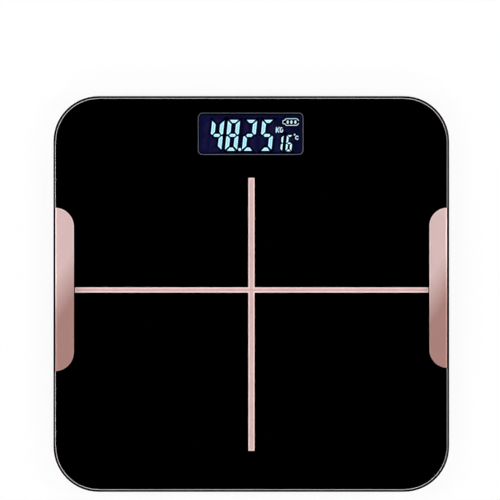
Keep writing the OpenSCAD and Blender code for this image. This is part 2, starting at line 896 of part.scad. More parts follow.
// The sensor's bead on its two leads
module temperature_sensor() {
  lead_d = 0.5;
  lead_step = 1.4;
  lead_l = 1.6;
  bead_d = 2.8;
  color("maroon")
    at_display(board_z)
      translate([8 * part_w, 3 * part_w, 0]) {
        for (x = [-lead_step / 2, lead_step / 2])
          translate([x, 0, -lead_l]) cylinder(h = lead_l, d = lead_d, $fn = 16);
        translate([0, 0, -lead_l - bead_d / 2 + 0.4]) sphere(d = bead_d);
      }
}

module switch_body() {
  color("dimgray")
    translate([button_at.x, button_at.y, 0])
      difference() {
        translate([0, 0, switch_z + switch_h / 2])
          cube([switch_w, switch_w, switch_h], center = true);
        translate([0, 0, switch_z - cut])
          cylinder(h = cut + plunger_in + plunger_bore, d = plunger_d + 2 * plunger_gap);
      }
}

module switch_plunger() {
  color("white")
    translate([button_at.x, button_at.y, button_top])
      cylinder(h = plunger_z - button_top, d = plunger_d);
}

module unit_button() {
  button_z = ride_h - button_proud;
  color([0.2, 0.2, 0.21])
    translate([button_at.x, button_at.y, 0]) {
      translate([0, 0, button_z]) cylinder(h = button_top - button_z, d = button_d);
      translate([0, 0, floor_z]) cylinder(h = button_top - floor_z, d = button_d + 2 * button_flange);
    }
}

// A battery along +X with its flat end on x = 0
module battery() {
  rotate([0, 90, 0]) {
    cylinder(h = battery_l - nub_l, d = battery_d);
    cylinder(h = battery_l, d = nub_d);
  }
}

module battery_one() {
  color("goldenrod")
    translate([battery_pos_x, bay_y + battery_y, battery_z])
      battery();
}

module battery_two() {
  color("goldenrod")
    translate([-battery_pos_x, bay_y - battery_y, battery_z])
      mirror([1, 0, 0])
        battery();
}

module bridge_contact() {
  color("silver")
    translate([-bay_l / 2, bay_y - battery_y - contact_w / 2, battery_z - contact_w / 2])
      cube([contact_t, 2 * battery_y + contact_w, contact_w]);
}

// A contact plate at the bay's right end, with its solder tab through the wall
module tabbed_contact(y) {
  color("silver")
    translate([bay_l / 2 - contact_t, bay_y + y, battery_z]) {
      translate([contact_t / 2, 0, 0]) cube([contact_t, contact_w, contact_w], center = true);
      translate([0, -contact_tab_w / 2, -contact_t / 2])
        cube([contact_t + contact_tab_l, contact_tab_w, contact_t]);
    }
}

module positive_contact() {
  tabbed_contact(battery_y);
}

module negative_contact() {
  tabbed_contact(-battery_y);
}

// A point on the spring's coil, which widens towards the contact plate
function coil_point(t) =
  let (a = 360 * spring_turns * t, r = ((1 - t) * spring_d + t * spring_end_d) / 2)
  [r * cos(a), r * sin(a), spring_wire / 2 + (spring_l - spring_wire) * t];

// A coil spring from z = 0 to the battery's flat end
module spring() {
  steps = 14 * spring_turns;
  sides = 8;
  rings = [
    for (i = [0:steps])
      let (
        t = i / steps,
        c = coil_point(t),
        a = 360 * spring_turns * t,
        out = [cos(a), sin(a), 0]
      )
      for (k = [0:sides - 1])
        let (b = 360 * k / sides)
        c + spring_wire / 2 * (cos(b) * out + [0, 0, sin(b)])
  ];
  sides_faces = [
    for (i = [0:steps - 1], k = [0:sides - 1])
      let (n = (k + 1) % sides)
      [i * sides + k, (i + 1) * sides + k, (i + 1) * sides + n, i * sides + n]
  ];
  start_cap = [[for (k = [0:sides - 1]) k]];
  end_cap = [[for (k = [sides - 1:-1:0]) steps * sides + k]];
  polyhedron(points = rings, faces = concat(sides_faces, start_cap, end_cap));
}

module contact_springs() {
  color("silver")
    for (s = [-1, 1])
      translate([s * (bay_l / 2 - contact_t), bay_y - s * battery_y, battery_z])
        rotate([0, -s * 90, 0])
          spring();
}

module battery_door() {
  riser_t = 1.8;
  tab_z = floor_z + tab_gap;
  latch_w = 12;
  latch_l = 8;
  slit = 0.9;
  grip_step = 1.6;
  color([0.1, 0.1, 0.11])
    translate([0, bay_y, 0])
      difference() {
        union() {
          translate([0, 0, ride_h + door_t / 2])
            cube([door_l, door_w, door_t], center = true);
          for (sx = [-1, 1])
            translate([sx * tab_x - tab_w / 2, 0, 0]) {
              translate([0, door_w / 2 - riser_t, ride_h])
                cube([tab_w, riser_t, tab_z + tab_t - ride_h]);
              translate([0, door_w / 2 - riser_t, tab_z])
                cube([tab_w, riser_t + door_gap + tab_reach, tab_t]);
            }
        }
        for (sx = [-1, 1])
          translate([sx * latch_w / 2 - slit / 2, -door_w / 2 - cut, ride_h - cut])
            cube([slit, latch_l + cut, door_t + 2 * cut]);
        for (i = [0:2])
          translate([0, latch_l / 2 - door_w / 2 + (i - 1) * grip_step, ride_h])
            cube([latch_w - 4, slit, relief], center = true);
      }
}

// The three wires of a load cell: off the cell, down to the floor, along to the board
module cell_wires(i) {
  p = foot_at[i];
  s = sign(p.x);
  front = p.y < 0;
  lane = front ? front_lane_x : rear_lane_x;
  landing_y = display_y + board_h * (front ? 0.09 : -0.16);
  landing_x = board_w / 2 - 2 * board_screw_in;
  color("firebrick")
    for (k = [0:2]) {
      out_y = p.y + (k - 1) * wire_step;
      lane_x = s * (lane - k * wire_step);
      turn_y = landing_y - k * wire_step;
      high = cell_z + cell_t / 2;
      wire([
        [s * (abs(p.x) - cell_w / 2 - wire_d / 2 - wire_gap), out_y, high],
        [lane_x, out_y, high],
        [lane_x, out_y, wire_z],
        [lane_x, turn_y, wire_z],
        [s * landing_x, turn_y, wire_z],
        [s * landing_x, turn_y, board_z - wire_d / 2 - wire_gap]
      ]);
    }
}

module battery_wires() {
  tab_end = bay_l / 2 + contact_tab_l;
  color("firebrick")
    for (s = [-1, 1]) {
      start_x = tab_end + wire_d / 2 + wire_gap;
      lane_x = start_x + (s < 0 ? 3 : 1) * wire_step;
      wire([
        [start_x, bay_y + s * battery_y, battery_z],
        [lane_x, bay_y + s * battery_y, battery_z],
        [lane_x, bay_y + s * battery_y, wire_z],
        [lane_x, display_y, wire_z],
        [lane_x, display_y, board_z - wire_d / 2 - wire_gap]
      ]);
    }
}

glass_platform();
back_coat();
cross_print();
display_outline();
left_edge_plate();
right_edge_plate();
adhesive_tape();
base_tray();
seat_screws();
gauge_sealant();
for (i = [0:3]) {
  seat(i);
  load_cell(i);
  foot_cup(i);
  foot_pad(i);
  cell_wires(i);
}
lcd_panel();
light_guide();
guide_lamps();
contact_strip();
lcd_holder();
circuit_board();
board_screws();
main_chip();
board_parts();
temperature_sensor();
switch_body();
switch_plunger();
unit_button();
battery_one();
battery_two();
bridge_contact();
positive_contact();
negative_contact();
contact_springs();
battery_door();
battery_wires();
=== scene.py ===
import math

import bmesh
import bpy
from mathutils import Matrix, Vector


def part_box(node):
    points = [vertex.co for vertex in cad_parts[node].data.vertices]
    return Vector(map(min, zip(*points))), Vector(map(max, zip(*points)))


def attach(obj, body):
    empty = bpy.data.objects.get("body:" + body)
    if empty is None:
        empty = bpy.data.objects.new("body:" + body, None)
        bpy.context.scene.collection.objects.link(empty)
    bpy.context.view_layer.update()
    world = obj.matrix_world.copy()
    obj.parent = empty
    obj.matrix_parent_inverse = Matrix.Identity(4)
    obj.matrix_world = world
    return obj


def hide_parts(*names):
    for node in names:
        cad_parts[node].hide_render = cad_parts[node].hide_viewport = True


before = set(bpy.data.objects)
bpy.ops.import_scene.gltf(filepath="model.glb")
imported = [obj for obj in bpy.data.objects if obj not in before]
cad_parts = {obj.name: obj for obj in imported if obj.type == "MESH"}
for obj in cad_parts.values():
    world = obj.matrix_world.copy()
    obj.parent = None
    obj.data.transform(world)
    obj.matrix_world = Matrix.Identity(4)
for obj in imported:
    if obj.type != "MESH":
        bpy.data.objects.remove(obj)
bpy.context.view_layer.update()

# The looks of a digital bathroom scale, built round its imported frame. Metres, +Z up, and +Y
# towards the display.

bl_info = {
    "name": "Bathroom scale looks",
    "version": (1, 0, 0),
    "blender": (4, 5, 0),
    "location": "3D View > Sidebar > Scale",
    "description": "Glass, print, edge plates, display, base and studio of a bathroom scale",
    "category": "Object",
}

MM = 0.001


def linear(code):
    """The linear colour of an sRGB hex value."""
    shares = [int(code[i:i + 2], 16) / 255 for i in (0, 2, 4)]
    light = [v / 12.92 if v <= 0.04045 else ((v + 0.055) / 1.055) ** 2.4 for v in shares]
    return (*light, 1.0)


def per(millimetres):
    """The noise scale whose features are that large."""
    return 1 / (millimetres * MM)


# -------------------- where the CAD pieces stand

GLASS_LOW, GLASS_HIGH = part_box("glass_platform")
OUTLINE_LOW, OUTLINE_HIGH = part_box("display_outline")
CROSS_LOW, CROSS_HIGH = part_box("cross_print")
PANEL_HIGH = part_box("lcd_panel")[1]
DOOR_LOW, DOOR_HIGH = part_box("battery_door")
HALF = GLASS_HIGH.x
TOP = GLASS_HIGH.z
DISPLAY_X = (OUTLINE_LOW.x + OUTLINE_HIGH.x) / 2
DISPLAY_Y = (OUTLINE_LOW.y + OUTLINE_HIGH.y) / 2
CORNERS = ("front_left", "front_right", "rear_left", "rear_right")


def at_corners(name):
    """The names of the four CAD nodes of a kind."""
    return [name + "_" + corner for corner in CORNERS]


# -------------------- sizes and colours to change

def length(name, millimetres, description):
    """A length that can be changed in the sidebar."""
    return bpy.props.FloatProperty(
        name=name, description=description, default=millimetres * MM, unit="LENGTH")


def tone(name, code, description):
    """A colour that can be changed in the sidebar, from its sRGB hex value."""
    return bpy.props.FloatVectorProperty(
        name=name, description=description, default=linear(code), size=4, subtype="COLOR")


class GlassSettings(bpy.types.PropertyGroup):
    corner_radius: length("Corner radius", 32, "Radius of the glass's corners, seen from above")
    edge_radius: length("Edge radius", 1.9, "Radius of the round along the top edge")
    arris: length("Lower chamfer", 0.4, "Chamfer along the bottom edge")
    tint: tone("Tint", "fafcfb", "Colour of clear float glass")
    # The ground line's colour: partly ground glass, partly painted highlight along the round edge
    ground: tone("Ground edge", "d4cdcb", "Colour of the ground line along the edge")


class PrintSettings(bpy.types.PropertyGroup):
    line: length("Border", 1.0, "Width of the pale border of the cross")
    short: length("Stop short", 0.1, "How far the ink stops inside its outline")
    core: tone("Cross", "ceaaa9", "Colour of the cross")
    border: tone("Cross border", "e6c8c4", "Colour of the cross's border")
    outline: length("Outline", 0.5, "Width of the line round the display")
    outline_dim: tone("Outline, dim", "4d4e58", "Grey of the outline at its rear left corner")
    outline_pale: tone("Outline, pale", "60616d", "Grey of the outline at its front right corner")


class PlateSettings(bpy.types.PropertyGroup):
    rim: length("Rim", 0.62, "Width of the bright-cut rim")
    rim_drop: length("Rim drop", 0.12, "How far the rim slopes down")
    gap: length("Gap", 0.05, "Free width round the plates in their pockets")
    set_back: length("Set back", 0.5, "How far the outer side stands back in its pocket")
    # The light and dark ends are a painted reflection: lighter towards the display and darker
    # towards the front
    light: tone("Light end", "d9bbb9", "Rose gold towards the display")
    dark: tone("Dark end", "aa7f78", "Rose gold towards the front")


class DisplaySettings(bpy.types.PropertyGroup):
    lean: bpy.props.FloatProperty(
        name="Lean", description="Angle by which the figures lean", default=math.radians(6),
        subtype="ANGLE")
    rim: length("Segment rim", 0.7, "Width of each segment's bright rim")
    fringe: length("Segment fringe", 0.18, "Width of the blue fringe in each segment's rim")
    trim: length("Segment trim", 0.12, "Free width kept along each lit segment's edge")
    halo: length("Mask", 1.1, "Width of the black mask round the lit segments")
    lit: tone("Lit", "a2dff8", "Light of a segment")
    lit_rim: tone("Lit rim", "d0faff", "Light along a segment's rim")
    lit_fringe: tone("Lit fringe", "5a96d8", "Light along a segment's edge")
    lit_sign: tone("Lit signs", "c8e0f2", "Light of the small signs")
    field: tone("Field", "080c30", "Colour of the dark field")
    unlit: tone("Unlit", "17123a", "Colour of the unlit segments")


class BaseSettings(bpy.types.PropertyGroup):
    abs_colour: tone("ABS", "1b1b1d", "Colour of the base's plastic")
    rubber_colour: tone("Rubber", "3c3c3e", "Colour of the pads")
    nub_step: length("Nub spacing", 2.4, "Spacing of the nubs under the pads")
    nub_radius: length("Nub radius", 0.7, "Radius of each nub")
    nub_height: length("Nub height", 0.35, "Height of each nub")
    grip_step: length("Grip spacing", 1.5, "Spacing of the grip dots on the battery door")


class StageSettings(bpy.types.PropertyGroup):
    focal: bpy.props.FloatProperty(
        name="Focal length", description="Focal length of the camera in millimetres",
        default=294.0, unit="CAMERA")
    view_width: length("Width in view", 353.55, "Width that the camera sees at the glass's top")
    floor: tone("Floor", "f7f7f7", "Colour of the floor")
    radiance: bpy.props.FloatProperty(
        name="Softbox", description="Radiance of the softboxes, where white paper is 1",
        default=5.05)


# -------------------- nodes and materials

# The kinds of node used most
NOISE, RANGE, MIX = "ShaderNodeTexNoise", "ShaderNodeMapRange", "ShaderNodeMix"
MATH, VECTOR_MATH = "ShaderNodeMath", "ShaderNodeVectorMath"
# Where most of a noise's values lie: of one with fine detail, and of a plainer one
FINE_NOISE, PLAIN_NOISE = (0.3, 0.7), (0.35, 0.65)


def feed(node, facts):
    """Gives a node its facts. Each is a setting, a value for an input, or what feeds that input:
    a socket, or a node by its first output in use."""
    for name, value in facts.items():
        if isinstance(value, bpy.types.Node):
            value = next(socket for socket in value.outputs if socket.enabled)
        if isinstance(name, str) and hasattr(node, name):
            setattr(node, name, value)
        elif isinstance(value, bpy.types.NodeSocket):
            node.id_data.links.new(value, node.inputs[name])
        else:
            node.inputs[name].default_value = value
    return node


def put(tree, kind, *values, **facts):
    """Adds a node with its facts, then gives its inputs in use the values in turn."""
    node = feed(tree.nodes.new(kind), facts)
    in_use = [i for i, socket in enumerate(node.inputs) if socket.enabled]
    return feed(node, dict(zip(in_use, values)))


def surface(name, facts):
    """A material with one Principled shader. Gives the material, its tree, its shader and the
    socket of a point's place on the object, in metres."""
    material = bpy.data.materials.new(name)
    material.use_nodes = True
    tree = material.node_tree
    tree.nodes.clear()
    shader = put(tree, "ShaderNodeBsdfPrincipled", **facts)
    put(tree, "ShaderNodeOutputMaterial", shader)
    return material, tree, shader, put(tree, "ShaderNodeTexCoord").outputs["Object"]


def darker(colour, share):
    """The colour with that share of its light."""
    return tuple(c * share for c in colour[:3]) + (1.0,)


def drifting(tree, colour, source, spread, reach=PLAIN_NOISE):
    """A colour whose light drifts by that share up and down with a noise."""
    return put(tree, MIX, put(tree, RANGE, source, *reach), darker(colour, 1 - spread),
               darker(colour, 1 + spread), data_type="RGBA")


def grained(name, colour, grain, bump, rough, metallic=0.0, spread=0.12, blotch=30):
    """A solid with a fine grain in its relief and roughness, and a slow drift of its colour.
    Grain and blotch are in millimetres, bump is the relief's depth in millimetres."""
    material, tree, shader, place = surface(name, {"Metallic": metallic})
    fine = put(tree, NOISE, place, per(grain), 3.0)
    slow = put(tree, NOISE, place, per(blotch), 2.0)
    feed(shader, {
        "Base Color": drifting(tree, colour, slow, spread, FINE_NOISE),
        "Roughness": put(tree, RANGE, fine, *FINE_NOISE, *rough),
        "Normal": put(tree, "ShaderNodeBump", Height=fine, Distance=bump * MM)})
    return material


def dress(node, material):
    """Gives a CAD node its material."""
    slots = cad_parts[node].material_slots
    if not slots:
        raise ValueError(node + " has no material slot")
    for slot in slots:
        slot.material = material


# -------------------- mesh building

def meshed(bm, name):
    """A mesh from the one being built, with its normals outwards."""
    bmesh.ops.recalc_face_normals(bm, faces=bm.faces)
    mesh = bpy.data.meshes.new(name)
    bm.to_mesh(mesh)
    bm.free()
    return mesh


def added(name, data):
    """A new object in the scene."""
    thing = bpy.data.objects.new(name, data)
    bpy.context.scene.collection.objects.link(thing)
    return thing


def finished(bm, name, materials, body="base", node=(), smooth=0):
    """Makes a piece of a mesh with its materials, hangs it on the body it rides on and hides the
    CAD nodes that it stands in for. Smooth is the angle, in degrees, up to which its edges are
    shaded smooth."""
    mesh = meshed(bm, name)
    for material in materials:
        mesh.materials.append(material)
    if len(mesh.materials) <= max((face.material_index for face in mesh.polygons), default=0):
        raise ValueError(name + " lacks a material")
    shaded(mesh, smooth)
    return settled(added(name, mesh), body, node)


def shaded(mesh, smooth):
    """Shades a mesh flat, or smooth up to an angle between faces, in degrees."""
    if smooth:
        mesh.shade_smooth()
        mesh.set_sharp_from_angle(angle=math.radians(smooth))
    else:
        mesh.shade_flat()


def settled(piece, body, node=()):
    """Hangs a piece on the body it rides on, and hides the CAD nodes that it stands in for."""
    if not piece.data.polygons:
        raise ValueError(piece.name + " came out empty")
    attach(piece, body)
    if node:
        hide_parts(*node)
    return piece


def applied(piece):
    """The piece with its modifiers' result as its own mesh."""
    graph = bpy.context.evaluated_depsgraph_get()
    mesh = bpy.data.meshes.new_from_object(piece.evaluated_get(graph))
    piece.modifiers.clear()
    piece.data = mesh
    return piece


def round_square(side, radius, z, steps=14):
    """The corners of a square with round corners, anticlockwise."""
    points = []
    for q, (sx, sy) in enumerate(((1, 1), (-1, 1), (-1, -1), (1, -1))):
        for i in range(steps + 1):
            a = math.pi / 2 * (q + i / steps)
            run = side / 2 - radius
            points.append((sx * run + radius * math.cos(a), sy * run + radius * math.sin(a), z))
    return points


def loft(bm, loops, materials=None):
    """A closed shell through loops of equally many points. Gives the faces of each strip."""
    rings = [[bm.verts.new(p) for p in loop] for loop in loops]
    count = len(rings[0])
    strips = []
    for k in range(len(rings) - 1):
        strip = []
        for i in range(count):
            j = (i + 1) % count
            face = bm.faces.new((rings[k][i], rings[k][j], rings[k + 1][j], rings[k + 1][i]))
            if materials:
                face.material_index = materials[k]
            strip.append(face)
        strips.append(strip)
    bm.faces.new(list(reversed(rings[0])))
    lid = bm.faces.new(rings[-1])
    if materials:
        lid.material_index = materials[-1]
    return strips


def grown(points, distance, closed=True):
    """An outline or an open line moved to its right by a distance. An anticlockwise outline
    moves outwards."""
    count = len(points)
    last = count if closed else count - 1
    ways = [(Vector(points[(i + 1) % count][:2]) - Vector(points[i][:2])).normalized()
            for i in range(last)]
    out = []
    for i, point in enumerate(points):
        before = ways[i - 1] if closed else ways[max(i - 1, 0)]
        after = ways[min(i, last - 1)]
        right = Vector((before.y + after.y, -before.x - after.x))
        out.append(tuple(Vector(point[:2]) + right * (distance * 2 / right.length_squared)))
    return out


def level(points, z):
    """An outline at a height."""
    return [(p[0], p[1], z) for p in points]


def framed(bm, outline, insets, low, high, materials):
    """A flat prism whose top has a ring up to each inset, then a core, each of its material."""
    loft(bm, [level(outline, low), level(outline, high)]
         + [level(grown(outline, -inset), high) for inset in insets],
         materials=materials[:1] + materials)


def ribbon(bm, points, width, low, high, closed=False):
    """A flat line of the given width along points."""
    sides = zip(*(grown(points, shift, closed) for shift in (-width / 2, width / 2)))
    posts = [[bm.verts.new((x, y, z)) for x, y in pair for z in (low, high)] for pair in sides]
    for p, q in zip(posts, posts[1:] + (posts[:1] if closed else [])):
        for a, b in ((1, 3), (3, 2), (2, 0), (0, 1)):
            bm.faces.new((p[a], p[b], q[b], q[a]))
    if not closed:
        bm.faces.new([posts[0][k] for k in (0, 1, 3, 2)])
        bm.faces.new([posts[-1][k] for k in (0, 2, 3, 1)])


def oval(x, y, width, height, steps=20):
    """The outline of an oval."""
    return [(x + width / 2 * math.cos(2 * math.pi * i / steps),
             y + height / 2 * math.sin(2 * math.pi * i / steps)) for i in range(steps)]


# -------------------- the glass

def clear_glass(settings):
    """Clear tempered float glass: sharp reflections and a faint green tint in its thickness.
    Lamps shine straight through it, so the display below isn't dimmed by its shadow."""
    material, tree, shader, place = surface("clear_tempered_glass", {
        "Base Color": settings.tint, "Transmission Weight": 1.0, "IOR": 1.52})
    wiped = put(tree, NOISE, place, per(25), 4.0, 0.6)
    feed(shader, {"Roughness": put(tree, RANGE, wiped, 0.45, 0.8, 0.0, 0.02)})
    clear = put(tree, "ShaderNodeBsdfTransparent", linear("f6f9f8"))
    in_shadow = put(tree, "ShaderNodeLightPath").outputs["Is Shadow Ray"]
    feed(tree.get_output_node("ALL"), {
        "Surface": put(tree, "ShaderNodeMixShader", in_shadow, shader, clear)})
    return material


def ground_glass_and_highlight(settings):
    """A pale line along the edge: partly glass ground with a diamond wheel, which scatters light,
    and partly painted highlight standing in for the shine of the round edge. The attribute gives
    each face's share of the pale colour. That share is painted light: strong on the left and in
    the corners and faint on the right. In the band outside the line it is near black without
    reflection, a painted dark band."""
    material, tree, shader, place = surface("ground_glass_edge", {
        "Roughness": 0.6, "Specular IOR Level": 0.0})
    share = put(tree, "ShaderNodeAttribute", attribute_name="ground_line_and_highlight").outputs["Fac"]
    scratch = put(tree, NOISE, place, per(0.6), 3.0)
    uneven = put(tree, RANGE, scratch, *FINE_NOISE, 0.85, 1.15)
    varied = put(tree, MATH, share, uneven, operation="MULTIPLY")
    feed(shader, {
        "Base Color": put(tree, MIX, varied, linear("000000"), settings.ground, data_type="RGBA"),
        "Normal": put(tree, "ShaderNodeBump", Height=scratch, Distance=0.01 * MM)})
    return material


def plate_outline(side, grow, steps=20):
    """An edge plate seen from above, anticlockwise. Its inner corners are quarter circles as
    large as the plate is wide."""
    low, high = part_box("left_edge_plate" if side < 0 else "right_edge_plate")
    width = high.x - low.x
    outer = side * max(abs(low.x), abs(high.x))
    radius = width + grow
    lift = math.asin(-grow / radius)
    half = []
    for i in range(steps + 1):
        a = lift + (math.pi / 2 - lift) * i / steps
        half.append((outer - side * radius * math.sin(a), radius * math.cos(a)))
    rear = [(x, high.y - width + y) for x, y in half]
    front = [(x, low.y + width - y) for x, y in half]
    outline = rear + front[::-1]
    return outline if side > 0 else outline[::-1]


# The rings of the round top edge, in millimetres inside the edge: first on the round, then the
# one where the flat top begins. The last lies on the underside.
ROUND_RINGS = (0.03, 0.1, 0.22, 0.35, 0.55, 0.8, 1.0, 1.14, 1.28, 1.47, 1.57, 1.7, 1.8, 1.9)
TOP_RING = 2.05
LOW_RING = 2.5
# The ground line on each stretch of the edge: where it starts and ends, in millimetres inside the
# edge, and the share of its pale colour. That share is painted highlight: full on the left and in
# the corners and faint on the right, after how the light falls there
GROUND_LINES_AND_HIGHLIGHTS = {"corner": (1.57, 1.9, 0.95), "right": (1.0, 1.9, 0.21),
                "left": (1.28, 1.57, 1.0), "front and rear": (1.47, 1.8, 0.86)}
# The share in the band between the line and the edge, near black and without reflection as a
# painted dark band, and the turn over which the right line narrows
PAINTED_DARK_BAND = 0.005
NARROWING = math.radians(26)
# How far the glass reaches into the coat, as the two are joined without air between
INTO_COAT = 0.03 * MM
# Faces that look up or down more than this are flat, and edges of more degrees stay sharp
FLAT = 0.9999
SHARP = 30


def line_and_highlight_share(x, y, inset, straight):
    """The share of the pale colour at a place on the edge, or None on the clear glass inside the
    line. It is painted highlight in the line and painted shade in the band outside it. The right
    side's wide and faint line narrows over the first part of its corners."""
    def along(stretch):
        start, end, share = GROUND_LINES_AND_HIGHLIGHTS[stretch]
        if inset > end:
            return None
        return share if inset > start else PAINTED_DARK_BAND

    past_x, past_y = abs(x) - straight, abs(y) - straight
    if past_x > 0 and past_y > 0:
        turned = math.atan2(past_y, past_x) / NARROWING
        if x < 0 or turned > 1 or along("corner") is None:
            return along("corner")
        return along("right") * (1 - turned) + along("corner") * turned
    if past_y > 0:
        return along("front and rear")
    return along("right" if x > 0 else "left")


def cut_pockets(glass, gap):
    """Cuts the pockets for the plates into the glass, wider than the plates by a gap."""
    bm = bmesh.new()
    for side in (-1, 1):
        outline = plate_outline(side, gap)
        loft(bm, [level(outline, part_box("left_edge_plate")[0].z), level(outline, TOP + MM)])
    cutter = added("plate_pockets", meshed(bm, "plate_pockets"))
    cut = glass.modifiers.new("pockets", "BOOLEAN")
    cut.operation = "DIFFERENCE"
    cut.solver = "EXACT"
    cut.object = cutter
    whole = len(glass.data.polygons)
    applied(glass)
    bpy.data.objects.remove(cutter)
    if len(glass.data.polygons) <= whole:
        raise ValueError("the pockets for the plates didn't cut")


class SCALE_OT_platform_glass(bpy.types.Operator):
    """Build the glass with its round edge, ground line and pockets for the plates"""
    bl_idname = "bathroom_scale.platform_glass"
    bl_label = "Platform glass"

    def execute(self, context):
        s = context.scene.scale_glass
        low = GLASS_LOW.z - INTO_COAT
        springing = TOP - s.edge_radius
        profile = [(LOW_RING * MM, low), (s.arris, low), (0.0, low + s.arris), (0.0, springing)]
        for inset in ROUND_RINGS:
            x = s.edge_radius - inset * MM
            rise = math.sqrt(max(s.edge_radius ** 2 - x ** 2, 0.0))
            profile.append((inset * MM, springing + rise))
        profile.append((TOP_RING * MM, TOP))
        bm = bmesh.new()
        ground_line_and_highlight = bm.faces.layers.float.new("ground_line_and_highlight")
        strips = loft(bm, [round_square(2 * (HALF - inset), s.corner_radius - inset, z)
                           for inset, z in profile])
        straight = HALF - s.corner_radius
        # Faces in the pale line take its painted highlight, and faces between it and the edge take
        # the painted dark band
        for k, strip in enumerate(strips):
            if profile[k + 1][1] <= springing:
                continue
            middle = (profile[k][0] + profile[k + 1][0]) / 2 / MM
            for face in strip:
                c = face.calc_center_median()
                share = line_and_highlight_share(c.x, c.y, middle, straight)
                if share is not None:
                    face.material_index = 1
                    face[ground_line_and_highlight] = share
        glass = finished(bm, "platform_glass", [clear_glass(s), ground_glass_and_highlight(s)],
                         node=["glass_platform"])
        cut_pockets(glass, context.scene.scale_plates.gap)
        shaded(glass.data, SHARP)
        # The flat faces are shaded flat, so that the round's shading doesn't spread over them
        for face in glass.data.polygons:
            face.use_smooth = abs(face.normal.z) < FLAT
        return {"FINISHED"}


# -------------------- the print on its back

# The fleck in the ink, in millimetres: coarser than the real pigment, so that it shows
INK_FLECK = 0.9
# The sides of the cross's long bar and cross bar, and how far the ink stops short at the front
LONG_BAR = (-2.2 * MM, 2.4 * MM)
CROSS_BAR = (0.85 * MM, 4.75 * MM)
FRONT_SHORT = 0.2 * MM
# The line round the display along its middle: width, height and corner radius
OUTLINE_SIZE = (74.2 * MM, 29.24 * MM, 3.1 * MM)
# How far the line's top lies over the coat, so that it shows where it leaves its groove
OVER_COAT = 0.01 * MM
# The way in which the line pales, and half the distance over which it does
PALES_TOWARDS = (0.29, -1.0, 0.0)
PALES_OVER = 25 * MM


def printed(name, colour):
    """Screen ink seen through the glass: even, with a faint fleck and no shine of its own."""
    material, tree, shader, place = surface(name, {"Specular IOR Level": 0.0})
    fleck = put(tree, NOISE, place, per(INK_FLECK), 1.0)
    feed(shader, {"Base Color": drifting(tree, colour, fleck, 0.035),
                  "Roughness": put(tree, RANGE, fleck, 0.0, 1.0, 0.5, 0.6)})
    return material


def cross_outline():
    """The cross's ink seen from above, anticlockwise. It fills the CAD's cross but for a little
    on the left of the long bar and at its front."""
    (left, right), (near, far) = LONG_BAR, CROSS_BAR
    front, rear, west, east = CROSS_LOW.y + FRONT_SHORT, CROSS_HIGH.y, CROSS_LOW.x, CROSS_HIGH.x
    return [(left, front), (right, front), (right, near), (east, near), (east, far), (right, far),
            (right, rear), (left, rear), (left, far), (west, far), (west, near), (left, near)]


def outline_ink(settings):
    """Grey screen ink, seen through the glass: it pales slowly from its rear left corner to its
    front right one."""
    material, tree, shader, place = surface("grey_screen_ink", {
        "Specular IOR Level": 0.0, "Roughness": 0.55})
    slant = put(tree, VECTOR_MATH, place, PALES_TOWARDS, operation="DOT_PRODUCT")
    share = put(tree, RANGE, slant, -DISPLAY_Y - PALES_OVER, -DISPLAY_Y + PALES_OVER)
    feed(shader, {"Base Color": put(tree, MIX, share, settings.outline_dim,
                                    settings.outline_pale, data_type="RGBA")})
    return material


def outline_middle():
    """The middle of the line round the display, anticlockwise. It lies 0.15 mm inside the middle
    of the CAD's wider line at the sides, and 0.27 mm outside it at the front and rear."""
    width, height, radius = OUTLINE_SIZE
    return [(DISPLAY_X + x + math.copysign((width - height) / 2, x), DISPLAY_Y + y)
            for x, y, _ in round_square(height, radius, 0.0)]


class SCALE_OT_back_print(bpy.types.Operator):
    """Build the cross with its pale border and the display's outline, and finish the coat"""
    bl_idname = "bathroom_scale.back_print"
    bl_label = "Back print"

    def execute(self, context):
        s = context.scene.scale_print
        bm = bmesh.new()
        framed(bm, grown(cross_outline(), -s.short), [s.line], CROSS_LOW.z, CROSS_HIGH.z, [1, 0])
        finished(bm, "cross_bars", [printed("rose_screen_ink", s.core),
                                    printed("pale_rose_screen_ink", s.border)],
                 node=["cross_print"])
        dress("back_coat", printed("black_screen_ink", linear("000000")))
        line = bmesh.new()
        ribbon(line, outline_middle(), s.outline, OUTLINE_LOW.z, OUTLINE_HIGH.z + OVER_COAT,
               closed=True)
        finished(line, "outline_line", [outline_ink(s)], node=["display_outline"])
        return {"FINISHED"}


# -------------------- the edge plates

# Where the plates' painted reflection, from light to dark, has its middle, the way it runs, and
# where it starts and ends
PAINTED_REFLECTION_X, PAINTED_REFLECTION_Y = 132.3 * MM, 3.0 * MM
SLANT = (0.838, -0.545, 0.0)
PAINTED_REFLECTION_START, PAINTED_REFLECTION_END = -10.0 * MM, 9.0 * MM
# The brushed lines' scale along the plate as against across it, and the white of painted sheen in
# the palest
LINE_STRETCH = 0.05
LINE_SHINE = 0.03


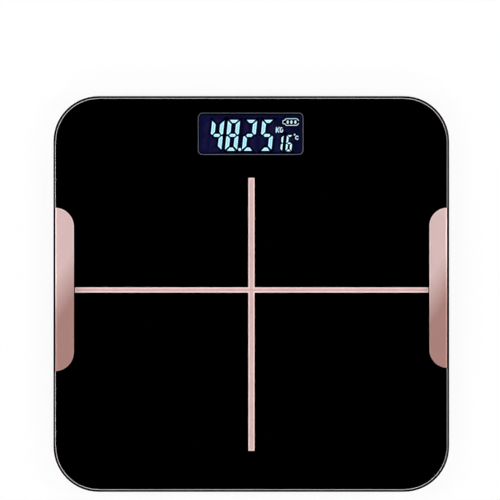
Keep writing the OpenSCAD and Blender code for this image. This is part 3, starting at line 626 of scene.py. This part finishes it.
def rose_anodised_with_painted_reflection(name, light, dark, rough, brushed):
    """Anodised aluminium, satin or bright cut: rose gold with a painted reflection that goes from
    a light end to a dark one on a slant, and fine lines along the plate with a faint painted
    sheen."""
    material, tree, shader, place = surface(name, {
        "Metallic": 0.55, "Specular IOR Level": 0.3})
    across = put(tree, VECTOR_MATH, place, (1.0, 0.0, 0.0), operation="DOT_PRODUCT")
    side = put(tree, MATH, across, operation="SIGN")
    slant = put(tree, VECTOR_MATH, place, SLANT, operation="DOT_PRODUCT")
    slant = put(tree, MATH, side, -SLANT[0] * PAINTED_REFLECTION_X, slant, operation="MULTIPLY_ADD")
    middle = SLANT[1] * PAINTED_REFLECTION_Y
    share = put(tree, RANGE, slant, middle + PAINTED_REFLECTION_START, middle + PAINTED_REFLECTION_END)
    stretched = put(tree, "ShaderNodeMapping", place, Scale=(1.0, LINE_STRETCH, 1.0))
    lines = put(tree, NOISE, stretched, per(brushed), 2.0)
    shine = put(tree, RANGE, lines, *FINE_NOISE, 0, LINE_SHINE)
    # Painted reflection: the rose goes from its light end to its dark one along the slant
    rose = put(tree, MIX, share, light, dark, data_type="RGBA")
    feed(shader, {
        "Base Color": put(tree, MIX, shine, rose, linear("fff9f7"), data_type="RGBA"),
        "Roughness": put(tree, RANGE, lines, *FINE_NOISE, rough - 0.04, rough + 0.04),
        "Normal": put(tree, "ShaderNodeBump", Height=lines, Distance=0.004 * MM)})
    return material


class SCALE_OT_edge_plates(bpy.types.Operator):
    """Build the two rose-gold plates with their bright-cut rims"""
    bl_idname = "bathroom_scale.edge_plates"
    bl_label = "Edge plates"

    def execute(self, context):
        s = context.scene.scale_plates
        satin = rose_anodised_with_painted_reflection("rose_anodised_satin", s.light, s.dark, rough=0.5, brushed=0.35)
        # The rim is a real sloped facet, but its paler rose is painted highlight, with the same
        # painted reflection from light to dark
        cut = rose_anodised_with_painted_reflection("rose_anodised_bright_cut", linear("ecd2ce"), linear("b48a83"),
                            rough=0.4, brushed=0.5)
        for side, name in ((-1, "left"), (1, "right")):
            low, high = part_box(name + "_edge_plate")
            if high.x - low.x < 2 * s.rim:
                raise ValueError("the plate is too narrow for its rim")
            bm = bmesh.new()
            outer = max(abs(low.x), abs(high.x)) - s.set_back

            def kept_in(outline, limit):
                return [(side * min(side * x, limit), y) for x, y in outline]

            edge = kept_in(plate_outline(side, 0.0), outer)
            crown = kept_in(plate_outline(side, -s.rim), outer - s.rim)
            loft(bm, [level(edge, low.z), level(edge, high.z - s.rim_drop),
                      level(crown, high.z)], materials=[1, 1, 0])
            finished(bm, name + "_plate", [satin, cut],
                     node=[name + "_edge_plate"])
        return {"FINISHED"}


# -------------------- the display

# The corners of each segment of a figure, in millimetres from its lower left corner, before
# the lean. The right-hand segments are the left-hand ones turned over.
FIGURE_W = 8.95
LEFT_UPPER = [(0, 21.9), (0, 11.95), (1.3, 11.4), (3.05, 13.5), (3.05, 18.9)]
LEFT_LOWER = [(0, 10.3), (0, 1.35), (0.35, 0.95), (3.05, 3.5), (3.05, 8.85), (1.0, 10.85)]
SEGMENTS = {
    "a": [(0.95, 22.25), (3.4, 19.75), (5.55, 19.75), (8.0, 22.25)],
    "d": [(1.2, 0), (7.75, 0), (5.5, 2.65), (3.45, 2.65)],
    "g": [(1.9, 11.1), (2.9, 9.9), (6.05, 9.9), (7.05, 11.1), (6.05, 12.3), (2.9, 12.3)],
    "f": LEFT_UPPER,
    "e": LEFT_LOWER,
    "b": [(FIGURE_W - x, y) for x, y in LEFT_UPPER[::-1]],
    "c": [(FIGURE_W - x, y) for x, y in LEFT_LOWER[::-1]],
}
FIGURES = {"1": "bc", "2": "abdeg", "4": "bcfg", "5": "acdfg", "6": "acdefg", "8": "abcdefg"}

# Each figure: what it shows, the place of its lower left corner from the display's middle in
# millimetres, and its size
SHOWN = [("4", -29.6, -12.2, 1.0), ("8", -18.45, -12.2, 1.0), ("2", -6.4, -12.2, 1.0),
         ("5", 5.95, -12.2, 1.0), ("1", 17.95, -12.45, 0.52), ("6", 24.5, -12.45, 0.52)]
SMALL_NARROWER = 0.94
# The first figure is a one that stays unlit
UNLIT_ONE = (-40.7, -12.2)
# The bottom and top of each layer of the picture over the panel, in millimetres
GHOST_LAYER, MASK_LAYER, LIT_LAYER = (0.01, 0.02), (0.03, 0.05), (0.07, 0.12)


def at_display(points, lean=0.0, x=0.0, y=0.0, size=1.0):
    """Millimetres on the display made places on the object. Small figures are narrower."""
    wide = size if size == 1.0 else size * SMALL_NARROWER
    return [(DISPLAY_X + (x + wide * px + size * py * lean) * MM,
             DISPLAY_Y + (y + size * py) * MM) for px, py in points]


def glowing(name, colour, strength, base="000000", fleck=0.6):
    """A liquid crystal segment, lit from behind: an even glow with the faint cells of the
    light guide in it."""
    material, tree, shader, place = surface(name, {
        "Base Color": linear(base), "Roughness": 0.4, "Specular IOR Level": 0.0,
        "Emission Strength": strength})
    cells = put(tree, NOISE, place, per(fleck), 1.0)
    feed(shader, {"Emission Color": drifting(tree, colour, cells, 0.04)})
    return material


def polarised_pane(field):
    """The panel's dark pane: its field glows faintly and in slow clouds."""
    material, tree, shader, place = surface("polarised_lcd_pane", {
        "Roughness": 0.35, "Specular IOR Level": 0.02, "Emission Strength": 1.0})
    cloud = put(tree, NOISE, place, per(9), 2.0)
    share = put(tree, RANGE, cloud, *PLAIN_NOISE)
    feed(shader, {
        "Emission Color": put(tree, MIX, share, darker(field, 0.75), darker(field, 1.3),
                              data_type="RGBA"),
        "Base Color": put(tree, MIX, cloud, linear("020208"), linear("04040e"),
                          data_type="RGBA")})
    return material


def letters_and_signs():
    """The unit, the temperature's sign and the battery's sign, as lines and dots. Each line is
    its points and its width, in millimetres."""
    def bow(x, y, rx, ry, start, end, steps=14):
        return [(x + rx * math.cos(math.radians(start + (end - start) * i / steps)),
                 y + ry * math.sin(math.radians(start + (end - start) * i / steps)))
                for i in range(steps + 1)]

    lines = [
        ([(18.1, 0.85), (18.35, 4.75)], 0.75),
        ([(20.5, 4.75), (18.75, 2.8), (20.2, 0.85)], 0.65),
        (bow(21.8, 2.75, 0.9, 1.6, 50, 320) + [(22.75, 2.6), (22.0, 2.6)], 0.65),
        (bow(32.95, -2.8, 1.1, 1.15, 40, 320), 0.6),
        ([(34.1, 9.3), (32.8, 10.7), (25.1, 10.7), (24.3, 9.7), (22.85, 9.3), (22.85, 7.4),
          (24.3, 7.0), (25.1, 6.0), (32.8, 6.0), (34.1, 7.4)], 0.48),
    ]
    dots = [oval(-7.7, -11.1, 2.1, 2.1), oval(31.2, -0.6, 1.2, 1.2)]
    dots += [oval(x, 8.3, 1.5, 2.4) for x in (26.25, 28.87, 31.7)]
    return lines, dots


class SCALE_OT_display(bpy.types.Operator):
    """Build the lit figures and signs, the black mask round them and the unlit segments"""
    bl_idname = "bathroom_scale.display"
    bl_label = "Display"

    def execute(self, context):
        s = context.scene.scale_display
        lean = math.tan(s.lean)
        ghost, mask, lit = (tuple(PANEL_HIGH.z + height * MM for height in layer)
                            for layer in (GHOST_LAYER, MASK_LAYER, LIT_LAYER))

        def flat(bm, outline, layer):
            loft(bm, [level(outline, layer[0]), level(outline, layer[1])])

        # The light spreads a little in the glass, so each figure pales to blue at its edge
        fringe = glowing("lit_liquid_crystal_fringe", s.lit_fringe, 1.0)
        core = glowing("lit_liquid_crystal", s.lit, 1.15)
        rim = glowing("lit_liquid_crystal_rim", s.lit_rim, 1.25)
        dim = glowing("lit_liquid_crystal_signs", s.lit_sign, 1.25)
        black = glowing("black_mask_ink", linear("00000c"), 1.0)
        faint = glowing("unlit_liquid_crystal", s.unlit, 1.0, base="0a0812", fleck=1.5)
        figures, masks, ghosts, signs = (bmesh.new() for _ in range(4))
        for figure, x, y, size in SHOWN:
            for key, corners in SEGMENTS.items():
                outline = at_display(corners, lean, x, y, size)
                if key in FIGURES[figure]:
                    # The small figures have no room for a deeper core, so they are all rim
                    framed(figures, grown(outline, -s.trim * size),
                           [s.fringe * size, s.rim * size], *lit, [2, 1, int(size < 1)])
                    flat(masks, grown(outline, s.halo), mask)
                else:
                    flat(ghosts, outline, ghost)
        for key in FIGURES["1"]:
            flat(ghosts, at_display(SEGMENTS[key], lean, *UNLIT_ONE), ghost)
        lines, dots = letters_and_signs()
        for points, width in lines:
            ribbon(signs, at_display(points), width * MM, *lit)
            ribbon(masks, at_display(points), width * MM + 2 * s.halo, *mask)
        for outline in dots:
            flat(signs, at_display(outline), lit)
            flat(masks, grown(at_display(outline), s.halo), mask)
        for bm, name, materials in (
                (figures, "lit_figures", [core, rim, fringe]), (signs, "lit_signs", [dim]),
                (masks, "figure_mask", [black]), (ghosts, "unlit_segments", [faint])):
            finished(bm, name, materials)
        dress("lcd_panel", polarised_pane(s.field))
        return {"FINISHED"}


# -------------------- the base, door and button

class SCALE_OT_base_shell(bpy.types.Operator):
    """Finish the tray, its tape, the foot cups, the battery door and the unit button"""
    bl_idname = "bathroom_scale.base_shell"
    bl_label = "Base shell"

    def execute(self, context):
        s = context.scene.scale_base
        # Black ABS moulded in a spark-eroded tool: an even, dull grain that softens highlights
        tray = grained("black_abs_spark_eroded", s.abs_colour, 0.45, 0.05, (0.5, 0.62))
        dress("base_tray", tray)
        for cup in at_corners("foot_cup"):
            dress(cup, tray)
        # The door comes from a tool of its own, so its black is a little warmer and glossier
        dress("battery_door", grained("black_abs_door", linear("1e1c1c"), 0.4, 0.04,
                                      (0.42, 0.54)))
        # Dark grey ABS button, polished by fingers
        dress("unit_button", grained("grey_abs_button", linear("3a3a3b"), 0.35, 0.02,
                                     (0.35, 0.45)))
        # Closed-cell foam tape: open pores along its cut sides, no shine
        dress("adhesive_tape", grained("foam_tape", linear("26262a"), 0.3, 0.12, (0.85, 0.95)))
        return {"FINISHED"}


def nub_tree(material):
    """A tree that sets rows of small domes on the points of a mesh, and gives them one finish."""
    tree = bpy.data.node_groups.new("Nubs on points", "GeometryNodeTree")
    face = tree.interface
    face.new_socket("Geometry", in_out="INPUT", socket_type="NodeSocketGeometry")
    face.new_socket("Radius", in_out="INPUT", socket_type="NodeSocketFloat")
    face.new_socket("Height", in_out="INPUT", socket_type="NodeSocketFloat")
    face.new_socket("Geometry", in_out="OUTPUT", socket_type="NodeSocketGeometry")
    given = put(tree, "NodeGroupInput").outputs
    size = put(tree, "ShaderNodeCombineXYZ", given["Radius"], given["Radius"], given["Height"])
    dome = put(tree, "GeometryNodeMeshIcoSphere", Radius=1.0, Subdivisions=2)
    nubs = put(tree, "GeometryNodeInstanceOnPoints", Points=given["Geometry"], Instance=dome,
               Scale=size)
    real = put(tree, "GeometryNodeRealizeInstances", nubs)
    smooth = put(tree, "GeometryNodeSetShadeSmooth", real)
    done = put(tree, "GeometryNodeSetMaterial", Geometry=smooth, Material=material)
    put(tree, "NodeGroupOutput", done)
    return tree


def set_on_points(name, points, tree, radius, height):
    """A plain mesh of domes on points, made by a tree from above."""
    mesh = bpy.data.meshes.new(name)
    mesh.from_pydata(points, [], [])
    piece = added(name, mesh)
    stage = piece.modifiers.new("nubs", "NODES")
    stage.node_group = tree
    sockets = {i.name: i.identifier for i in tree.interface.items_tree if i.in_out == "INPUT"}
    stage[sockets["Radius"]] = radius
    stage[sockets["Height"]] = height
    return applied(piece)


# The pad's side and the flat ring under it: how far in from the side, and the height, both in
# millimetres. Then where the tread's floor starts, from the side, and where it ends, where the
# flat hub starts and how wide its bore is, from the middle.
PAD_SIDE = ((0.0, 0.6), (0.2, 0.25), (0.6, 0.0), (2.2, 0.0))
TREAD_START = 2.5 * MM
TREAD_END, HUB, BORE = 3.6 * MM, 3.3 * MM, 0.4 * MM
PAD_STEPS = 72
# The nubs start in this row, keep this far from the pad's side, and end this share of the way
# down to the floor
FIRST_ROW = 2
NUB_MARGIN = 3 * MM
NUB_SHARE = 0.98


class SCALE_OT_foot_pads(bpy.types.Operator):
    """Build the rubber pads with their rings and rows of nubs"""
    bl_idname = "bathroom_scale.foot_pads"
    bl_label = "Foot pads"

    def execute(self, context):
        s = context.scene.scale_base
        # Moulded rubber: dull, with dust in its pores
        rubber = grained("grey_moulded_rubber", s.rubber_colour, 0.5, 0.05, (0.7, 0.85),
                         spread=0.2)
        tree = nub_tree(rubber)
        for corner in CORNERS:
            low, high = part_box("foot_pad_" + corner)
            x, y = (low.x + high.x) / 2, (low.y + high.y) / 2
            r = (high.x - low.x) / 2
            floor = s.nub_height
            profile = [(BORE, high.z), (r, high.z)]
            profile += [(r - inset * MM, z * MM) for inset, z in PAD_SIDE]
            profile += [(r - TREAD_START, floor), (TREAD_END, floor), (HUB, 0.0), (BORE, 0.0)]
            bm = bmesh.new()
            loft(bm, [level(oval(x, y, 2 * pr, 2 * pr, PAD_STEPS), z) for pr, z in profile])
            finished(bm, "rubber_pad_" + corner, [rubber],
                     node=["foot_pad_" + corner], smooth=40)
            points = []
            rows = int((r - NUB_MARGIN) / s.nub_step)
            for row in range(FIRST_ROW, rows + 1):
                count = round(2 * math.pi * row)
                for i in range(count):
                    a = 2 * math.pi * (i + 0.5 * (row % 2)) / count
                    reach = row * s.nub_step
                    points.append((x + reach * math.cos(a), y + reach * math.sin(a), floor))
            nubs = set_on_points("pad_nubs_" + corner, points, tree, s.nub_radius,
                                 s.nub_height * NUB_SHARE)
            settled(nubs, "base")
        return {"FINISHED"}


# The grip: its rows and the dots in each, the first row's place from the door's front and the
# rows' spacing in millimetres, and the dots' radius and height. Then the arrow: half its width,
# its ends from the door's front, and how far it goes below and into the door.
GRIP_ROWS, GRIP_DOTS = 3, 7
GRIP_FRONT, GRIP_ROW_STEP = 9.5, 1.3
DOT_RADIUS, DOT_HEIGHT = 0.42 * MM, 0.3 * MM
ARROW_HALF, ARROW_TIP, ARROW_BACK = 2.2 * MM, 14.2 * MM, 16.5 * MM
ARROW_DEEP = (-0.2 * MM, 0.1 * MM)


class SCALE_OT_door_grip(bpy.types.Operator):
    """Build the raised grip dots and the arrow on the battery door"""
    bl_idname = "bathroom_scale.door_grip"
    bl_label = "Door grip"

    def execute(self, context):
        s = context.scene.scale_base
        plastic = grained("black_abs_grip", linear("1e1c1c"), 0.4, 0.02, (0.35, 0.45))
        z = DOOR_LOW.z
        middle = (DOOR_LOW.x + DOOR_HIGH.x) / 2
        front = DOOR_LOW.y
        points = [(middle + (i - GRIP_DOTS // 2) * s.grip_step + (row % 2 - 0.5) * s.grip_step / 2,
                   front + (GRIP_FRONT + row * GRIP_ROW_STEP) * MM, z)
                  for row in range(GRIP_ROWS) for i in range(GRIP_DOTS)]
        dots = set_on_points("door_grip_dots", points, nub_tree(plastic), DOT_RADIUS, DOT_HEIGHT)
        settled(dots, "door")
        bm = bmesh.new()
        arrow = [(middle - ARROW_HALF, front + ARROW_BACK), (middle, front + ARROW_TIP),
                 (middle + ARROW_HALF, front + ARROW_BACK)]
        loft(bm, [level(arrow, z + deep) for deep in ARROW_DEEP])
        finished(bm, "door_arrow", [plastic], body="door")
        return {"FINISHED"}


# -------------------- what the base holds

# Each inner finish, under what it gives the eye: its name, colour, metallic, roughness range,
# grain and relief in millimetres, and the CAD nodes that take it
INNER = [
    # Cool grey with faint rolling marks
    ("blanked_spring_steel", "8f9294", 1.0, (0.28, 0.4), 0.8, 0.004,
     at_corners("load_cell")),
    # Pale blue-white plating
    ("zinc_plated_steel", "b9bec4", 1.0, (0.22, 0.36), 0.3, 0.004,
     ["seat_screws", "board_screws"]),
    # Soft white bead
    ("white_silicone", "dcdcd6", 0.0, (0.4, 0.55), 1.5, 0.03, ["gauge_sealant"]),
    # Dull black moulding
    ("black_abs_seat", "1d1d1f", 0.0, (0.5, 0.6), 0.5, 0.03, at_corners("seat")),
    # Milky light guide
    ("frosted_acrylic", "e6ebf0", 0.0, (0.5, 0.6), 0.4, 0.02, ["light_guide", "guide_lamps"]),
    # Pink rubber with a carbon core
    ("layered_contact_rubber", "b98a92", 0.0, (0.6, 0.7), 0.2, 0.01, ["contact_strip"]),
    # Clean white moulding
    ("white_abs", "d9d9d4", 0.0, (0.35, 0.45), 0.5, 0.02, ["lcd_holder"]),
    # Glossy green lacquer over copper
    ("green_solder_mask", "14502c", 0.0, (0.18, 0.3), 1.2, 0.01, ["circuit_board"]),
    # Glossy black dome
    ("black_epoxy_drop", "0c0c0d", 0.0, (0.12, 0.22), 2.0, 0.02, ["main_chip"]),
    # Dipped resin
    ("ochre_part_resin", "946a36", 0.0, (0.25, 0.4), 0.6, 0.02,
     ["board_parts", "temperature_sensor"]),
    # Dull switch housing
    ("black_nylon", "1f1f20", 0.0, (0.45, 0.55), 0.4, 0.01, ["switch_body"]),
    # Slightly waxy white
    ("white_nylon", "dad9d2", 0.0, (0.3, 0.4), 0.4, 0.01, ["switch_plunger"]),
    # Warm bright plating
    ("nickel_plated_steel", "c0bdb4", 1.0, (0.16, 0.28), 0.3, 0.003,
     ["bridge_contact", "positive_contact", "negative_contact", "contact_springs"]),
    # Soft sheen on red
    ("red_pvc_sleeve", "8d1a18", 0.0, (0.35, 0.45), 0.6, 0.01,
     at_corners("wires") + ["battery_wires"]),
]


# Along a battery, the band and the bare caps at the positive and the flat end: where each
# starts to change and stops, as shares of its half length, and how full it is there
BAND, CAP_END, FLAT_END = (0.72, 0.73, 0, 1), (0.945, 0.95, 0, 1), (-0.975, -0.97, 1, 0)


def battery_sleeve(name, turn):
    """A lacquered foil sleeve, slate grey with a pale band at the positive end, that stops short
    of the bare steel caps. Turn is 1 where the positive end lies towards +X, else -1."""
    material, tree, shader, place = surface(name, {})
    low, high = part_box("battery_one")
    half = (high.x - low.x) / 2
    along = put(tree, VECTOR_MATH, place, (turn, 0.0, 0.0), operation="DOT_PRODUCT")
    band, cap_end, flat_end = (put(tree, RANGE, along, half * start, half * end, *share)
                               for start, end, *share in (BAND, CAP_END, FLAT_END))
    caps = put(tree, MATH, cap_end, flat_end, operation="MAXIMUM")
    rubbed = put(tree, NOISE, place, per(3), 4.0, 0.6)
    wear = put(tree, RANGE, rubbed, 0.5, 0.9, 0, 0.25)
    colour = linear("4a5662")
    for share, other in ((band, "cfd2d2"), (wear, "8a8378"), (caps, "c2c0ba")):
        colour = put(tree, MIX, share, colour, linear(other), data_type="RGBA")
    feed(shader, {
        "Base Color": colour,
        "Metallic": put(tree, MATH, caps, 0.35, operation="MAXIMUM"),
        "Roughness": put(tree, RANGE, rubbed, *FINE_NOISE, 0.22, 0.4)})
    return material


class SCALE_OT_inner_parts(bpy.types.Operator):
    """Finish the load cells, the circuit, the batteries and the wires"""
    bl_idname = "bathroom_scale.inner_parts"
    bl_label = "Inner parts"

    def execute(self, context):
        for name, colour, metallic, rough, grain, relief, nodes in INNER:
            material = grained(name, linear(colour), grain, relief, rough, metallic,
                               spread=0.08, blotch=8)
            for node in nodes:
                dress(node, material)
        dress("battery_one", battery_sleeve("lacquered_foil_sleeve_one", 1))
        dress("battery_two", battery_sleeve("lacquered_foil_sleeve_two", -1))
        return {"FINISHED"}


# -------------------- the studio

# In metres: how far out and how high the softboxes stand, their depth and length, and the
# point on the scale that every lamp faces
BOX_OUT, BOX_UP, BOX_DEPTH, BOX_LENGTH = 1.13, 1.13, 0.4, 1.5
BOX_AIM = (0, 0, 0.02)
# A weak lamp under the floor shows the underside in views from below: its depth, side, radiance
LOW_LAMP_Z, LOW_LAMP_SIDE, LOW_LAMP_RADIANCE = -1.2, 1.0, 0.8
# The camera stands a little beside the scale's middle, so that the scale sits low in the frame
CAMERA_X, CAMERA_Y = -0.93 * MM, 31.11 * MM
SENSOR_MM = 36
# The floor: half its side in metres, its height, the share of its own light near the scale and
# far from it, and the distances between which that share grows
FLOOR_HALF, FLOOR_Z = 30.0, -0.2 * MM
FLOOR_LIGHT, FLOOR_FADE = (0.88, 1.0), (0.18, 0.6)
# The room's light falls twice: how steep the line of sight is where each fall starts and ends,
# and the share of the light before and after it
ROOM_FALLS = ((0.1, 0.25, 1.0, 0.25), (0.8, 0.975, 1.0, 0.0))


def softbox(name, place, width, height, radiance):
    """A rectangular lamp that gives white paper facing it that radiance."""
    lamp = bpy.data.lights.new(name, "AREA")
    lamp.shape = "RECTANGLE"
    lamp.size = width
    lamp.size_y = height
    lamp.energy = radiance * math.pi * width * height
    box = added(name, lamp)
    aim = (Vector(BOX_AIM) - Vector(place)).normalized()
    box.rotation_euler = aim.to_track_quat("-Z", "Y").to_euler()
    box.location = place
    box.visible_camera = False


class SCALE_OT_studio(bpy.types.Operator):
    """Set up the floor, the soft lights and the camera over the scale"""
    bl_idname = "bathroom_scale.studio"
    bl_label = "Studio"

    def execute(self, context):
        s = context.scene.scale_stage
        self.make_floor(s)
        self.make_world(context)
        for name, x, y in (("left", -1, 0), ("right", 1, 0), ("rear", 0, 1), ("front", 0, -1)):
            sides = (BOX_DEPTH, BOX_LENGTH) if x else (BOX_LENGTH, BOX_DEPTH)
            softbox("softbox_" + name, (x * BOX_OUT, y * BOX_OUT, BOX_UP), *sides, s.radiance)
        softbox("lamp_under_floor", (0, 0, LOW_LAMP_Z), LOW_LAMP_SIDE, LOW_LAMP_SIDE,
                LOW_LAMP_RADIANCE)
        eye = bpy.data.cameras.new("camera")
        eye.sensor_width = SENSOR_MM
        eye.lens = s.focal
        distance = s.view_width * s.focal / SENSOR_MM
        eye.clip_start = 0.01
        eye.clip_end = 100
        camera = added("camera", eye)
        camera.location = (CAMERA_X, CAMERA_Y, TOP + distance)
        context.scene.camera = camera
        context.scene.view_settings.view_transform = "Standard"
        return {"FINISHED"}

    def make_floor(self, s):
        """A wide pale floor. It keeps the scale's shadow, and can be seen through from below."""
        mesh = bpy.data.meshes.new("floor")
        mesh.from_pydata([(x * FLOOR_HALF, y * FLOOR_HALF, FLOOR_Z)
                          for x, y in ((-1, -1), (1, -1), (1, 1), (-1, 1))], [], [(0, 1, 2, 3)])
        material, tree, shader, place = surface("matt_white_floor", {
            "Roughness": 0.9, "Specular IOR Level": 0.0})
        grain = put(tree, NOISE, place, per(3), 2.0)
        feed(shader, {"Base Color": put(tree, MIX, grain, darker(s.floor, 0.99), s.floor,
                                        data_type="RGBA")})
        path = put(tree, "ShaderNodeLightPath").outputs
        seen = put(tree, MATH, path["Is Camera Ray"], path["Is Glossy Ray"], operation="ADD")
        seen = put(tree, MATH, seen, path["Is Transmission Ray"], operation="ADD", use_clamp=True)
        away = put(tree, VECTOR_MATH, place, operation="LENGTH")
        light = put(tree, RANGE, away, *FLOOR_FADE, *FLOOR_LIGHT)
        share = put(tree, MATH, seen, light, operation="MULTIPLY")
        white = put(tree, "ShaderNodeEmission", linear("ffffff"), 1.0)
        lit = put(tree, "ShaderNodeMixShader", share, shader, white)
        behind = put(tree, "ShaderNodeNewGeometry").outputs["Backfacing"]
        hidden = put(tree, MATH, behind, path["Is Shadow Ray"], operation="MAXIMUM")
        clear = put(tree, "ShaderNodeBsdfTransparent")
        feed(tree.get_output_node("ALL"), {
            "Surface": put(tree, "ShaderNodeMixShader", hidden, lit, clear)})
        mesh.materials.append(material)
        floor = added("floor", mesh)

    def make_world(self, context):
        """A dim room: white low down, grey half way up, and dark overhead, as under a black
        ceiling, so that the glass looks black from above."""
        world = bpy.data.worlds.new("room")
        context.scene.world = world
        world.use_nodes = True
        tree = world.node_tree
        tree.nodes.clear()
        way = put(tree, "ShaderNodeTexCoord").outputs["Generated"]
        height = put(tree, "ShaderNodeSeparateXYZ", way).outputs["Z"]
        falls = [put(tree, RANGE, height, *fall) for fall in ROOM_FALLS]
        strength = put(tree, MATH, *falls, operation="MULTIPLY")
        room = put(tree, "ShaderNodeBackground", linear("ffffff"), strength)
        put(tree, "ShaderNodeOutputWorld", room)


# -------------------- the add-on

GROUPS = {
    "scale_glass": GlassSettings, "scale_print": PrintSettings, "scale_plates": PlateSettings,
    "scale_display": DisplaySettings, "scale_base": BaseSettings, "scale_stage": StageSettings,
}
STEPS = (SCALE_OT_studio, SCALE_OT_platform_glass, SCALE_OT_back_print, SCALE_OT_edge_plates,
         SCALE_OT_display, SCALE_OT_base_shell, SCALE_OT_foot_pads, SCALE_OT_door_grip,
         SCALE_OT_inner_parts)


class SCALE_PT_looks(bpy.types.Panel):
    """The sizes, colours and steps of the scale's looks"""
    bl_idname = "SCALE_PT_looks"
    bl_label = "Bathroom scale"
    bl_space_type = "VIEW_3D"
    bl_region_type = "UI"
    bl_category = "Scale"

    def draw(self, context):
        for name, group in GROUPS.items():
            box = self.layout.box()
            for setting in group.__annotations__:
                box.prop(getattr(context.scene, name), setting)
        for step in STEPS:
            self.layout.operator(step.bl_idname)


CLASSES = tuple(GROUPS.values()) + STEPS + (SCALE_PT_looks,)


def register():
    for one in CLASSES:
        bpy.utils.register_class(one)
    for name, group in GROUPS.items():
        setattr(bpy.types.Scene, name, bpy.props.PointerProperty(type=group))


def unregister():
    for name in GROUPS:
        delattr(bpy.types.Scene, name)
    for one in reversed(CLASSES):
        bpy.utils.unregister_class(one)


def main():
    register()
    for step in STEPS:
        getattr(bpy.ops.bathroom_scale, step.bl_idname.split(".")[1])()


if __name__ == "__main__":
    main()
